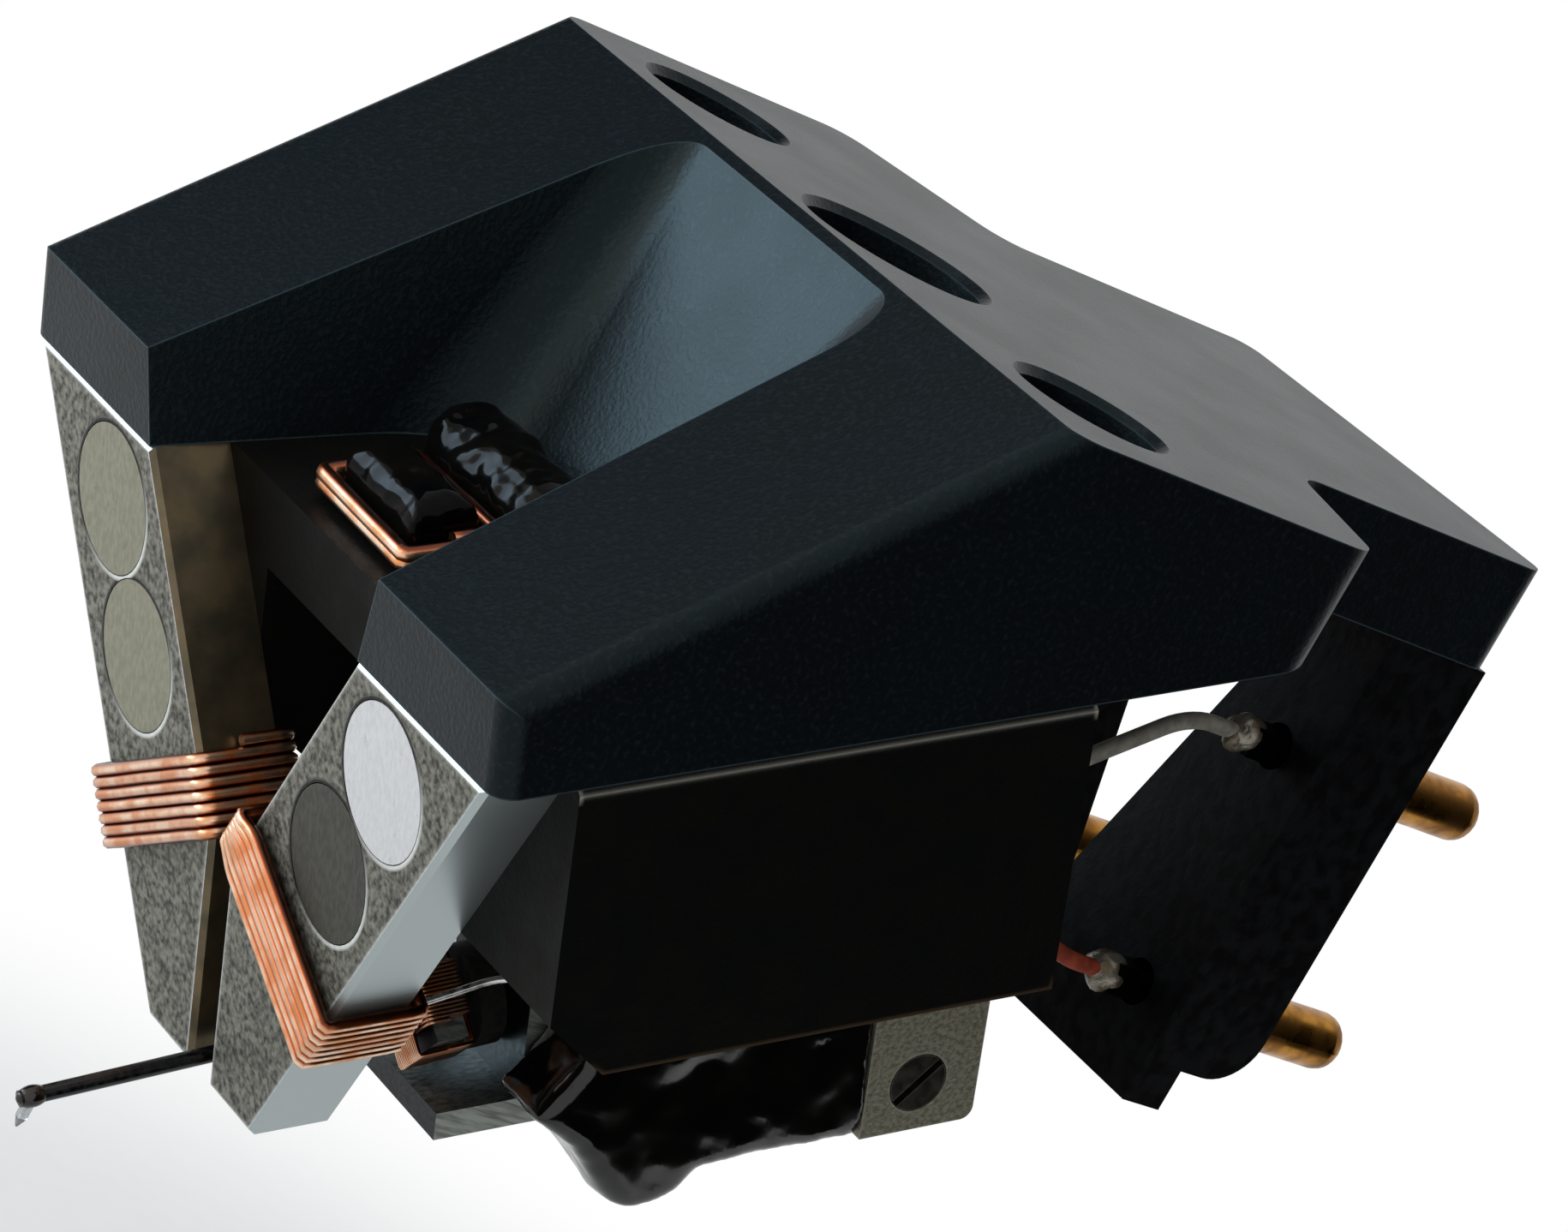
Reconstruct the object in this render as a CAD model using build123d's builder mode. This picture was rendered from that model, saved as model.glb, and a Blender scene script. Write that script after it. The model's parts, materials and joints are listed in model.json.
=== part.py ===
from build123d import *
import math
import os

# Open-frame moving-coil phono cartridge, millimetres.
# +X is the right side seen from the front, +Y points back to the pins, +Z is up.
# The origin is midway between the two mounting holes, on the top mounting face.

# Headblock
BLOCK_WIDTH = 17.8
FRONT_EDGE_Y = -2.2
STEP_OUTER_Y = 5.0
STEP_INNER_Y = 6.3
STEP_OUTER_RADIUS = 0.8
STEP_INNER_RADIUS = 0.9
TAIL_WIDTH = 9.86
TAIL_REAR_Y = 13.0
TAIL_THICKNESS = 2.1
TAIL_CORNER_RADIUS = 0.5
BLOCK_EDGE_RADIUS = 0.45
MOUNT_SPACING = 12.7
MOUNT_HOLE_RADIUS = 1.35
MOUNT_HOLE_DEPTH = 3.6
CENTRE_HOLE_RADIUS = 1.75
CENTRE_HOLE_DEPTH = 3.0
HOLE_CHAMFER = 0.15

# Scooped pocket between the arms of the headblock
SCOOP_BACK_Y = -2.35
SCOOP_BACK_HALF = 3.8
SCOOP_FLARE = 13.0
SCOOP_SIDE_DRAFT = 8.4
SCOOP_END_DRAFT = 11.5
SCOOP_TOP_RADIUS = 1.0
SCOOP_LOW_RADIUS = 2.6
SCOOP_DEPTH = 9.6
SCOOP_RUN = 10.5

# Generator frame of reference: the nose's lower edge, tilted down to the front
TILT = 25.5
NOSE_Y = -9.04
NOSE_Z = -8.93
NOSE_HEIGHT = 1.7

# Front yoke bars, in the plane of the V
BAR_SIDE_INSET = 0.4
BAR_BREADTH_SHARE = 0.535
BAR_THICKNESS = 1.5
V_HEIGHT = 10.3
TIP_OUTER = 2.05
TIP_GAP_HALF = 0.38
BAR_EDGE_CHAMFER = 0.1

# Magnets, two in line in each of four bores
MAGNET_RADIUS = 1.35
MAGNET_BORE_CLEARANCE = 0.02
MAGNET_LENGTH = 5.4
MAGNET_ROW_GAP = 0.07
MAGNET_COIL_GAP = 0.26

# Magnet frame
FRAME_REAR = 11.3
FRAME_HEIGHT = 5.5
FRAME_CHAMFER = 1.1
FRAME_EDGE_CHAMFER = 0.12
CHANNEL_HALF = 2.1
CHANNEL_ROOF = 1.6

# Damping coils on the bars and on the centre pole
COIL_WIRE = 0.25
BAR_COIL_TURNS = 7
COIL_MIDDLE_GAP = 0.08
COIL_CROWN = 0.4
COIL_INNER_CLEARANCE = 0.05
COIL_CORNER_RADIUS = 0.15
CENTRE_POLE_WIDTH = 2.6
CENTRE_POLE_DEPTH = 1.3
CENTRE_POLE_HEIGHT = 1.15
CENTRE_POLE_ROUND = 0.5
CENTRE_POLE_FRONT = 2.3
CENTRE_COIL_TURNS = 2
CENTRE_COIL_WIRE = 0.34
POTTING_WIDTH = 4.6
POTTING_DEPTH = 1.75
POTTING_HEIGHT = 1.3
POTTING_ROUND = 0.8

# Stylus assembly; the pivot lies on the axis of the pole piece
PIVOT_BACK = 4.9
AXIS_DROP = 9.65
DROOP = 3.2
CANTILEVER_RADIUS = 0.15
CANTILEVER_LENGTH = 8.05
STYLUS_WIDTH = 0.16
STYLUS_LENGTH = 0.62
STYLUS_SETBACK = 0.25
STYLUS_POINT_LENGTH = 0.2
STYLUS_POINT_WIDTH = 0.03
PIPE_RADIUS = 0.26
PIPE_LENGTH = 1.9
ARMATURE_SIDE = 1.7
ARMATURE_DEPTH = 0.6
ARMATURE_TURN = 45.0
WINDING_THICKNESS = 0.12
WINDING_WIDTH = 1.1
DAMPER_RADIUS = 0.95
DAMPER_BORE = 0.3
DAMPER_DEPTH = 0.5
BODY_GAP = 0.12
PRESS_CLEARANCE = 0.01
WIRE_RADIUS = 0.07
WIRE_LENGTH = 7.0
STUB_RADIUS = 0.34
STUB_LENGTH = 5.2

# Pole piece and what holds it
POLE_WIDTH = 2.8
POLE_RISE = 1.3
POLE_FALL = 1.97
POLE_GAP = 0.8
POLE_LIP_FRONT = 4.05
POLE_LIP_HEIGHT = 0.55
POLE_SHOULDER = 9.0
SPIGOT_RADIUS = 0.9
POLE_BORE = 0.36
SEAT_CLEARANCE = 0.02
HOLDER_HALF = 3.0
HOLDER_FRONT = 6.1
HOLDER_REAR = 12.0
HOLDER_BROW_DROP = 9.6
HOLDER_LIP = (5.1, -10.6)
HOLDER_HOLLOW = 0.12
HOLDER_ARCH = (6.75, -12.3)
HOLDER_TOE = (7.5, -12.88)
HOLDER_HEEL = (8.7, -12.3)
HOLDER_EDGE_RADIUS = 0.3
CLAMP_LENGTH = 2.4
CLAMP_RISE = 1.65
CLAMP_FALL = 2.6
CLAMP_SLIT = 0.3
CLAMP_CORNER_RADIUS = 0.25
SCREW_BACK = 13.1
SCREW_FALL = 1.6
SCREW_HEAD_RADIUS = 0.58
SCREW_HEAD_DEPTH = 0.4
SCREW_SHANK_RADIUS = 0.28
SCREW_LENGTH = 4.4
SCREW_SLOT = 0.16
SCREW_SLOT_DEPTH = 0.2
SCREW_SLOT_TURN = 40.0

# Rear terminal wall
PLATE_FRONT_Y = 10.42
PLATE_THICKNESS = 0.94
PLATE_BOTTOM_Z = -11.92
NOTCH_TOP_HALF = 2.8
NOTCH_ANGLE = 16.4
NOTCH_BOTTOM_Z = -10.6
NOTCH_END_RADIUS = 0.25
BLOCK_INSET = 0.05
BLOCK_BOTTOM_Z = -11.1
BLOCK_NOTCH_STEP = 1.4
BLOCK_HEEL_RADIUS = 1.0
PIN_X = 3.7
PIN_UPPER_Z = -5.05
PIN_SPACING_Z = 5.05
PIN_RADIUS = 0.55
PIN_SHANK_SIDE = 0.6
PIN_REACH = 2.7
PIN_STUB = 0.8
PIN_TIP_RADIUS = 0.4
PIN_BOSS_RADIUS = 0.95

# Leads
OUTPUT_LEAD_RADIUS = 0.16
LEAD_EXIT_X = {"upper": 2.2, "lower": 1.1}
LEAD_EXIT_RISE = {"upper": 1.9, "lower": 0.7}
LEAD_EXIT_RUN = {"upper": 1.4, "lower": 2.6}
LEAD_PIN_RUN = 1.4
LEAD_BEND = 1.0
COIL_LEAD_RADIUS = 0.07
COIL_LEAD_START_X = 1.2
COIL_LEAD_START_BACK = 3.4
COIL_LEAD_START_RISE = 0.8
COIL_LEAD_KNEE_X = 1.35
COIL_LEAD_KNEE_RISE = 1.15
COIL_LEAD_END_X = 1.9
COIL_LEAD_END_RISE = 1.35
COIL_LEAD_BEND = 1.2

# Directions and planes of the tilted generator
TILT_COS = math.cos(math.radians(TILT))
TILT_SIN = math.sin(math.radians(TILT))
BACK = Vector(0, TILT_COS, TILT_SIN)
UP = Vector(0, -TILT_SIN, TILT_COS)
RIGHT = Vector(1, 0, 0)
NOSE = Vector(0, NOSE_Y, NOSE_Z)


def generator_point(x, back, up):
    """A point given in the tilted generator's own directions."""
    return NOSE + RIGHT * x + BACK * back + UP * up


def front_plane(back):
    """Plane across the generator, facing the front: local x is right, local y is up."""
    return Plane(origin=generator_point(0, back, 0), x_dir=RIGHT, z_dir=-BACK)


SIDE_PLANE = Plane(origin=NOSE, x_dir=BACK, z_dir=RIGHT)


def level_plane(up):
    """Plane parallel to the seam under the headblock: local x is right, local y is back."""
    return Plane(origin=generator_point(0, 0, up), x_dir=RIGHT, z_dir=UP)


PIVOT = generator_point(0, PIVOT_BACK, -AXIS_DROP)
AXIS_ANGLE = math.radians(TILT + DROOP)
AXIS_BACK = Vector(0, math.cos(AXIS_ANGLE), math.sin(AXIS_ANGLE))
AXIS_UP = Vector(0, -math.sin(AXIS_ANGLE), math.cos(AXIS_ANGLE))


def stylus_plane(forward):
    """Plane across the cantilever, facing the front, at a distance ahead of the pivot."""
    return Plane(origin=PIVOT - AXIS_BACK * forward, x_dir=RIGHT, z_dir=-AXIS_BACK)


SIDES = {"left": -1, "right": 1}
os.makedirs("parts", exist_ok=True)


def save(builder, name):
    """Label a finished piece and write its STEP file."""
    builder.part.label = name
    export_step(builder.part, f"parts/{name}.step")


# Headblock: side profile, trimmed to the plan outline, with the scooped pocket and holes
NOSE_TOP = generator_point(0, 0, NOSE_HEIGHT)
SEAM_END_Y = NOSE_Y + (-TAIL_THICKNESS - NOSE_Z) * TILT_COS / TILT_SIN
PLAN_FRONT_Y = 2 * NOSE_TOP.Y
SLOPE_NORMAL = Vector(0, NOSE_TOP.Z, FRONT_EDGE_Y - NOSE_TOP.Y)


def scoop_half_width(y, depth):
    """Half width of the pocket at a place along it and a depth below the top face."""
    flare = math.radians(SCOOP_FLARE)
    draft = math.tan(math.radians(SCOOP_SIDE_DRAFT)) / math.cos(flare)
    return SCOOP_BACK_HALF + (SCOOP_BACK_Y - y) * math.tan(flare) - depth * draft


def scoop_outline(depth, corner_radius):
    """One level of the pocket: a flared slot with rounded back corners."""
    back_y = SCOOP_BACK_Y - depth * math.tan(math.radians(SCOOP_END_DRAFT))
    open_y = SCOOP_BACK_Y - SCOOP_RUN
    back_half = scoop_half_width(back_y, depth)
    open_half = scoop_half_width(open_y, depth)
    with BuildSketch(Plane.XY.offset(-depth)) as outline:
        with BuildLine():
            Polyline(
                (-open_half, open_y),
                (open_half, open_y),
                (back_half, back_y),
                (-back_half, back_y),
                close=True,
            )
        make_face()
        fillet(outline.vertices().group_by(Axis.Y)[-1], corner_radius)
    return outline.sketch


with BuildPart() as headblock:
    with BuildSketch(Plane.YZ):
        with BuildLine():
            Polyline(
                (FRONT_EDGE_Y, 0),
                (NOSE_TOP.Y, NOSE_TOP.Z),
                (NOSE_Y, NOSE_Z),
                (SEAM_END_Y, -TAIL_THICKNESS),
                (TAIL_REAR_Y, -TAIL_THICKNESS),
                (TAIL_REAR_Y, 0),
                close=True,
            )
        make_face()
    extrude(amount=BLOCK_WIDTH / 2, both=True)
    with BuildSketch(Plane.XY) as plan:
        with BuildLine():
            Polyline(
                (BLOCK_WIDTH / 2, PLAN_FRONT_Y),
                (BLOCK_WIDTH / 2, STEP_OUTER_Y),
                (TAIL_WIDTH / 2, STEP_INNER_Y),
                (TAIL_WIDTH / 2, TAIL_REAR_Y),
                (-TAIL_WIDTH / 2, TAIL_REAR_Y),
                (-TAIL_WIDTH / 2, STEP_INNER_Y),
                (-BLOCK_WIDTH / 2, STEP_OUTER_Y),
                (-BLOCK_WIDTH / 2, PLAN_FRONT_Y),
                close=True,
            )
        make_face()
        fillet(plan.vertices().group_by(Axis.Y)[1], STEP_OUTER_RADIUS)
        fillet(plan.vertices().group_by(Axis.Y)[-2], STEP_INNER_RADIUS)
        fillet(plan.vertices().group_by(Axis.Y)[-1], TAIL_CORNER_RADIUS)
    extrude(amount=NOSE_Z, mode=Mode.INTERSECT)
    slope = headblock.faces().sort_by(Axis((0, 0, 0), SLOPE_NORMAL))[-1]
    nose_face = headblock.faces().sort_by(Axis(NOSE, BACK))[0]
    front_edges = slope.edges() + nose_face.edges()
    fillet(front_edges.filter_by(Axis.X, reverse=True), BLOCK_EDGE_RADIUS)
    scoop_levels = [scoop_outline(0, SCOOP_TOP_RADIUS), scoop_outline(SCOOP_DEPTH, SCOOP_LOW_RADIUS)]
    loft(scoop_levels, ruled=True, mode=Mode.SUBTRACT)
    with Locations((-MOUNT_SPACING / 2, 0), (MOUNT_SPACING / 2, 0)):
        Hole(MOUNT_HOLE_RADIUS, depth=MOUNT_HOLE_DEPTH)
    with Locations((0, 0)):
        Hole(CENTRE_HOLE_RADIUS, depth=CENTRE_HOLE_DEPTH)
    rims = headblock.faces().sort_by(Axis.Z)[-1].edges().filter_by(GeomType.CIRCLE)
    chamfer(rims.filter_by(lambda edge: edge.is_closed), HOLE_CHAMFER)
save(headblock, "headblock")


# Front yoke bars with the bores for the magnets' front ends
BAR_TOP_OUTER = BLOCK_WIDTH / 2 - BAR_SIDE_INSET
BAR_BREADTH = BAR_TOP_OUTER * BAR_BREADTH_SHARE
BAR_TOP_INNER = BAR_TOP_OUTER - BAR_BREADTH
BAR_SLOPE = (BAR_TOP_OUTER - TIP_OUTER) / V_HEIGHT
BAR_LEAN = math.atan(BAR_SLOPE)
INNER_END_DROP = (BAR_TOP_INNER - TIP_GAP_HALF) / BAR_SLOPE
BAR_TOP_CENTRE = (BAR_TOP_OUTER + BAR_TOP_INNER) / 2
BAR_WIDTH = BAR_BREADTH * math.cos(BAR_LEAN)


def bar_point(sign, along):
    """A point in the plane of the V, at a distance down the bar's centre line."""
    return sign * (BAR_TOP_CENTRE - along * math.sin(BAR_LEAN)), -along * math.cos(BAR_LEAN)


# The damping coils sit as low as they can without touching, and the magnets close above them
COIL_HALF_WIDTH = BAR_WIDTH / 2 + COIL_INNER_CLEARANCE + COIL_WIRE
COIL_LOW_REACH = BAR_TOP_CENTRE - COIL_MIDDLE_GAP - COIL_HALF_WIDTH * math.cos(BAR_LEAN)
COIL_LENGTH = BAR_COIL_TURNS * COIL_WIRE
COIL_CENTRE = COIL_LOW_REACH / math.sin(BAR_LEAN) - COIL_LENGTH / 2
MAGNET_LOWER = COIL_CENTRE - COIL_LENGTH / 2 - MAGNET_COIL_GAP - MAGNET_RADIUS
MAGNET_ROWS = {"upper": MAGNET_LOWER - MAGNET_ROW_GAP - 2 * MAGNET_RADIUS, "lower": MAGNET_LOWER}
MAGNET_BORE = MAGNET_RADIUS + MAGNET_BORE_CLEARANCE

for side, sign in SIDES.items():
    with BuildPart() as front_yoke:
        with BuildSketch(front_plane(0)):
            with BuildLine():
                Polyline(
                    (sign * BAR_TOP_INNER, 0),
                    (sign * BAR_TOP_OUTER, 0),
                    (sign * TIP_OUTER, -V_HEIGHT),
                    (sign * TIP_GAP_HALF, -V_HEIGHT),
                    (sign * TIP_GAP_HALF, -INNER_END_DROP),
                    close=True,
                )
            make_face()
        extrude(amount=-BAR_THICKNESS)
        chamfer(front_yoke.faces().sort_by(Axis(NOSE, BACK))[0].edges(), BAR_EDGE_CHAMFER)
        with BuildSketch(front_plane(0)):
            with Locations(*[bar_point(sign, along) for along in MAGNET_ROWS.values()]):
                Circle(MAGNET_BORE)
        extrude(amount=-BAR_THICKNESS, mode=Mode.SUBTRACT)
    save(front_yoke, f"front_yoke_{side}")


# Magnets: a front and a rear rod in each bore
for side, sign in SIDES.items():
    for row, along in MAGNET_ROWS.items():
        for order, place in enumerate(("front", "rear")):
            with BuildPart() as magnet:
                with BuildSketch(front_plane(order * MAGNET_LENGTH)):
                    with Locations(bar_point(sign, along)):
                        Circle(MAGNET_RADIUS)
                extrude(amount=-MAGNET_LENGTH)
            save(magnet, f"magnet_{side}_{row}_{place}")


# Magnet frame: inverted-U section with four bores, chamfered under its front
with BuildPart() as magnet_frame:
    with BuildSketch(SIDE_PLANE):
        with BuildLine():
            Polyline(
                (BAR_THICKNESS, 0),
                (FRAME_REAR, 0),
                (FRAME_REAR, -FRAME_HEIGHT),
                (BAR_THICKNESS + FRAME_CHAMFER, -FRAME_HEIGHT),
                (BAR_THICKNESS, FRAME_CHAMFER - FRAME_HEIGHT),
                close=True,
            )
        make_face()
    extrude(amount=BLOCK_WIDTH / 2, both=True)
    top_face = magnet_frame.faces().sort_by(Axis(NOSE, UP))[-1]
    chamfer(top_face.edges().filter_by(Axis.X, reverse=True), FRAME_EDGE_CHAMFER)
    with BuildSketch(front_plane(BAR_THICKNESS)):
        with Locations((0, -(FRAME_HEIGHT + CHANNEL_ROOF) / 2)):
            Rectangle(2 * CHANNEL_HALF, FRAME_HEIGHT - CHANNEL_ROOF)
    extrude(amount=BAR_THICKNESS - FRAME_REAR, mode=Mode.SUBTRACT)
    with BuildSketch(front_plane(BAR_THICKNESS)):
        for sign in SIDES.values():
            with Locations(*[bar_point(sign, along) for along in MAGNET_ROWS.values()]):
                Circle(MAGNET_BORE)
    extrude(amount=BAR_THICKNESS - 2 * MAGNET_LENGTH, mode=Mode.SUBTRACT)
save(magnet_frame, "magnet_frame")


def ridged_coil(plane, width, depth, turns, wire):
    """A flat winding round a rectangular core: one ridge for each turn, along the plane's normal."""
    half_width = width / 2 + COIL_INNER_CLEARANCE
    half_depth = depth / 2 + COIL_INNER_CLEARANCE
    reach = turns * wire / 2
    with BuildPart() as coil:
        with BuildLine(plane) as route:
            FilletPolyline(
                (half_width, -half_depth),
                (half_width, half_depth),
                (-half_width, half_depth),
                (-half_width, -half_depth),
                radius=COIL_CORNER_RADIUS,
                close=True,
            )
        path = route.wires()[0]
        with BuildSketch(Plane(origin=path @ 0, x_dir=plane.z_dir, z_dir=path % 0)):
            with BuildLine():
                Polyline((reach, wire / 2), (reach, 0), (-reach, 0), (-reach, wire / 2))
                for turn in range(turns):
                    low = -reach + turn * wire
                    crown_low = low + wire * (1 - COIL_CROWN) / 2
                    crown_high = crown_low + wire * COIL_CROWN
                    Polyline((low, wire / 2), (crown_low, wire), (crown_high, wire), (low + wire, wire / 2))
            make_face()
        sweep(path=path)
    return coil


# Damping coils: one on each bar of the V, one on the wound core in the scoop
for side, sign in SIDES.items():
    coil_x, coil_up = bar_point(sign, COIL_CENTRE)
    bar_axis = RIGHT * (-sign * math.sin(BAR_LEAN)) - UP * math.cos(BAR_LEAN)
    coil_plane = Plane(
        origin=generator_point(coil_x, BAR_THICKNESS / 2, coil_up),
        x_dir=BACK.cross(bar_axis),
        z_dir=bar_axis,
    )
    damping_coil = ridged_coil(coil_plane, BAR_WIDTH, BAR_THICKNESS, BAR_COIL_TURNS, COIL_WIRE)
    save(damping_coil, f"damping_coil_{side}")

CENTRE_POLE_MIDDLE = CENTRE_POLE_FRONT + CENTRE_POLE_DEPTH / 2
with BuildPart() as centre_pole:
    with BuildSketch(level_plane(0)):
        with Locations((0, CENTRE_POLE_MIDDLE)):
            Rectangle(CENTRE_POLE_WIDTH, CENTRE_POLE_DEPTH)
    extrude(amount=CENTRE_POLE_HEIGHT)
    fillet(centre_pole.faces().sort_by(Axis(NOSE, UP))[-1].edges(), CENTRE_POLE_ROUND)
save(centre_pole, "centre_pole")

CENTRE_COIL_LIFT = CENTRE_COIL_TURNS * CENTRE_COIL_WIRE / 2 + COIL_INNER_CLEARANCE
centre_coil_plane = Plane(
    origin=generator_point(0, CENTRE_POLE_MIDDLE, CENTRE_COIL_LIFT), x_dir=RIGHT, z_dir=UP
)
centre_damping_coil = ridged_coil(
    centre_coil_plane, CENTRE_POLE_WIDTH, CENTRE_POLE_DEPTH, CENTRE_COIL_TURNS, CENTRE_COIL_WIRE
)
save(centre_damping_coil, "centre_damping_coil")

POTTING_FRONT = CENTRE_POLE_FRONT + CENTRE_POLE_DEPTH + 2 * COIL_INNER_CLEARANCE + CENTRE_COIL_WIRE
with BuildPart() as coil_potting:
    with BuildSketch(level_plane(0)):
        with Locations((0, POTTING_FRONT + POTTING_DEPTH / 2)):
            SlotOverall(POTTING_WIDTH, POTTING_DEPTH)
    extrude(amount=POTTING_HEIGHT)
    fillet(coil_potting.faces().sort_by(Axis(NOSE, UP))[-1].edges(), POTTING_ROUND)
save(coil_potting, "coil_potting")


# Pole piece: square bar with a lip under the moving coil and a round spigot, bored for the wire
CLAMP_REAR = HOLDER_REAR + CLAMP_LENGTH
CLAMP_TOP = AXIS_DROP - CLAMP_RISE
CLAMP_BOTTOM = AXIS_DROP + CLAMP_FALL
POLE_FRONT = PIVOT_BACK + POLE_GAP
POLE_TOP = AXIS_DROP - POLE_RISE
POLE_BOTTOM = AXIS_DROP + POLE_FALL
POLE_MIDDLE = (POLE_TOP + POLE_BOTTOM) / 2
POLE_HEIGHT = POLE_BOTTOM - POLE_TOP
with BuildPart() as pole_piece:
    with BuildSketch(SIDE_PLANE):
        with BuildLine():
            Polyline(
                (POLE_SHOULDER, -POLE_TOP),
                (POLE_FRONT, -POLE_TOP),
                (POLE_FRONT, POLE_LIP_HEIGHT - POLE_BOTTOM),
                (POLE_LIP_FRONT, POLE_LIP_HEIGHT - POLE_BOTTOM),
                (POLE_LIP_FRONT, -POLE_BOTTOM),
                (POLE_SHOULDER, -POLE_BOTTOM),
                close=True,
            )
        make_face()
    extrude(amount=POLE_WIDTH / 2, both=True)
    with BuildSketch(front_plane(POLE_SHOULDER)):
        with Locations((0, -AXIS_DROP)):
            Circle(SPIGOT_RADIUS)
    extrude(amount=POLE_SHOULDER - CLAMP_REAR)
    with BuildSketch(front_plane(POLE_FRONT)):
        with Locations((0, -AXIS_DROP)):
            Circle(POLE_BORE)
    extrude(amount=POLE_FRONT - CLAMP_REAR, mode=Mode.SUBTRACT)
save(pole_piece, "pole_piece")


# Pole holder: resin body under the frame, hollowed at its lower front above a rounded toe
HOLLOW_POINT = (Vector(HOLDER_LIP) + Vector(HOLDER_ARCH)) / 2 + Vector(HOLDER_HOLLOW, HOLDER_HOLLOW)
with BuildPart() as pole_holder:
    with BuildSketch(SIDE_PLANE):
        with BuildLine():
            Polyline(
                HOLDER_HEEL,
                (HOLDER_REAR, -CLAMP_BOTTOM),
                (HOLDER_REAR, -FRAME_HEIGHT),
                (HOLDER_FRONT, -FRAME_HEIGHT),
                (HOLDER_FRONT, -HOLDER_BROW_DROP),
                HOLDER_LIP,
            )
            ThreePointArc(HOLDER_LIP, HOLLOW_POINT, HOLDER_ARCH)
            ThreePointArc(HOLDER_ARCH, HOLDER_TOE, HOLDER_HEEL)
        make_face()
    extrude(amount=HOLDER_HALF, both=True)
    side_edges = pole_holder.faces().filter_by(Axis.X).edges()
    top_edges = pole_holder.faces().sort_by(Axis(NOSE, UP))[-1].edges()
    rear_edges = pole_holder.faces().sort_by(Axis(NOSE, BACK))[-1].edges()
    fillet(side_edges - top_edges - rear_edges, HOLDER_EDGE_RADIUS)
    with BuildSketch(front_plane(POLE_LIP_FRONT)):
        with Locations((0, -POLE_MIDDLE)):
            Rectangle(POLE_WIDTH + 2 * SEAT_CLEARANCE, POLE_HEIGHT + 2 * SEAT_CLEARANCE)
    extrude(amount=POLE_LIP_FRONT - POLE_SHOULDER, mode=Mode.SUBTRACT)
    with BuildSketch(front_plane(POLE_SHOULDER)):
        with Locations((0, -AXIS_DROP)):
            Circle(SPIGOT_RADIUS + SEAT_CLEARANCE)
    extrude(amount=POLE_SHOULDER - HOLDER_REAR, mode=Mode.SUBTRACT)
save(pole_holder, "pole_holder")


# Clamp block: split under its bore, drawn together by a slotted cross screw
SCREW_SEAT_RADIUS = SCREW_HEAD_RADIUS + SEAT_CLEARANCE
SCREW_PLANE = Plane(
    origin=generator_point(HOLDER_HALF, SCREW_BACK, -AXIS_DROP - SCREW_FALL), x_dir=BACK, z_dir=RIGHT
)
with BuildPart() as clamp_block:
    with BuildSketch(SIDE_PLANE):
        with Locations(((HOLDER_REAR + CLAMP_REAR) / 2, -(CLAMP_TOP + CLAMP_BOTTOM) / 2)):
            Rectangle(CLAMP_LENGTH, CLAMP_BOTTOM - CLAMP_TOP)
    extrude(amount=HOLDER_HALF, both=True)
    rear_edges = clamp_block.faces().sort_by(Axis(NOSE, BACK))[-1].edges().filter_by(Axis.X)
    fillet(rear_edges, CLAMP_CORNER_RADIUS)
    with BuildSketch(front_plane(HOLDER_REAR)):
        with Locations((0, -AXIS_DROP)):
            Circle(SPIGOT_RADIUS + SEAT_CLEARANCE)
        with Locations((0, -(AXIS_DROP + CLAMP_BOTTOM) / 2)):
            Rectangle(CLAMP_SLIT, CLAMP_BOTTOM - AXIS_DROP)
    extrude(amount=-CLAMP_LENGTH, mode=Mode.SUBTRACT)
    with BuildSketch(SCREW_PLANE):
        Circle(SCREW_SEAT_RADIUS)
    extrude(amount=-SCREW_HEAD_DEPTH, mode=Mode.SUBTRACT)
    with BuildSketch(SCREW_PLANE):
        Circle(SCREW_SHANK_RADIUS + SEAT_CLEARANCE)
    extrude(amount=-SCREW_LENGTH, mode=Mode.SUBTRACT)
save(clamp_block, "clamp_block")

with BuildPart() as clamp_screw:
    with BuildSketch(SCREW_PLANE):
        Circle(SCREW_HEAD_RADIUS)
    extrude(amount=-SCREW_HEAD_DEPTH)
    with BuildSketch(SCREW_PLANE.offset(-SCREW_HEAD_DEPTH)):
        Circle(SCREW_SHANK_RADIUS)
    extrude(amount=SCREW_HEAD_DEPTH - SCREW_LENGTH)
    with BuildSketch(SCREW_PLANE):
        Rectangle(2 * SCREW_SEAT_RADIUS, SCREW_SLOT, rotation=SCREW_SLOT_TURN)
    extrude(amount=-SCREW_SLOT_DEPTH, mode=Mode.SUBTRACT)
save(clamp_screw, "clamp_screw")


# Suspension: a steel wire from the pivot back to its crimped stub in the pole piece
with BuildPart() as suspension_wire:
    with BuildSketch(front_plane(PIVOT_BACK)):
        with Locations((0, -AXIS_DROP)):
            Circle(WIRE_RADIUS)
    extrude(amount=-WIRE_LENGTH)
save(suspension_wire, "suspension_wire")

with BuildPart() as wire_stub:
    with BuildSketch(front_plane(CLAMP_REAR - STUB_LENGTH)):
        with Locations((0, -AXIS_DROP)):
            Circle(STUB_RADIUS)
    extrude(amount=-STUB_LENGTH)
    with BuildSketch(front_plane(CLAMP_REAR - STUB_LENGTH)):
        with Locations((0, -AXIS_DROP)):
            Circle(WIRE_RADIUS + PRESS_CLEARANCE)
    extrude(amount=-STUB_LENGTH, mode=Mode.SUBTRACT)
save(wire_stub, "wire_stub")

with BuildPart() as damper:
    with BuildSketch(stylus_plane(-BODY_GAP)):
        Circle(DAMPER_RADIUS)
        Circle(DAMPER_BORE, mode=Mode.SUBTRACT)
    extrude(amount=-DAMPER_DEPTH)
save(damper, "damper")


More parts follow.
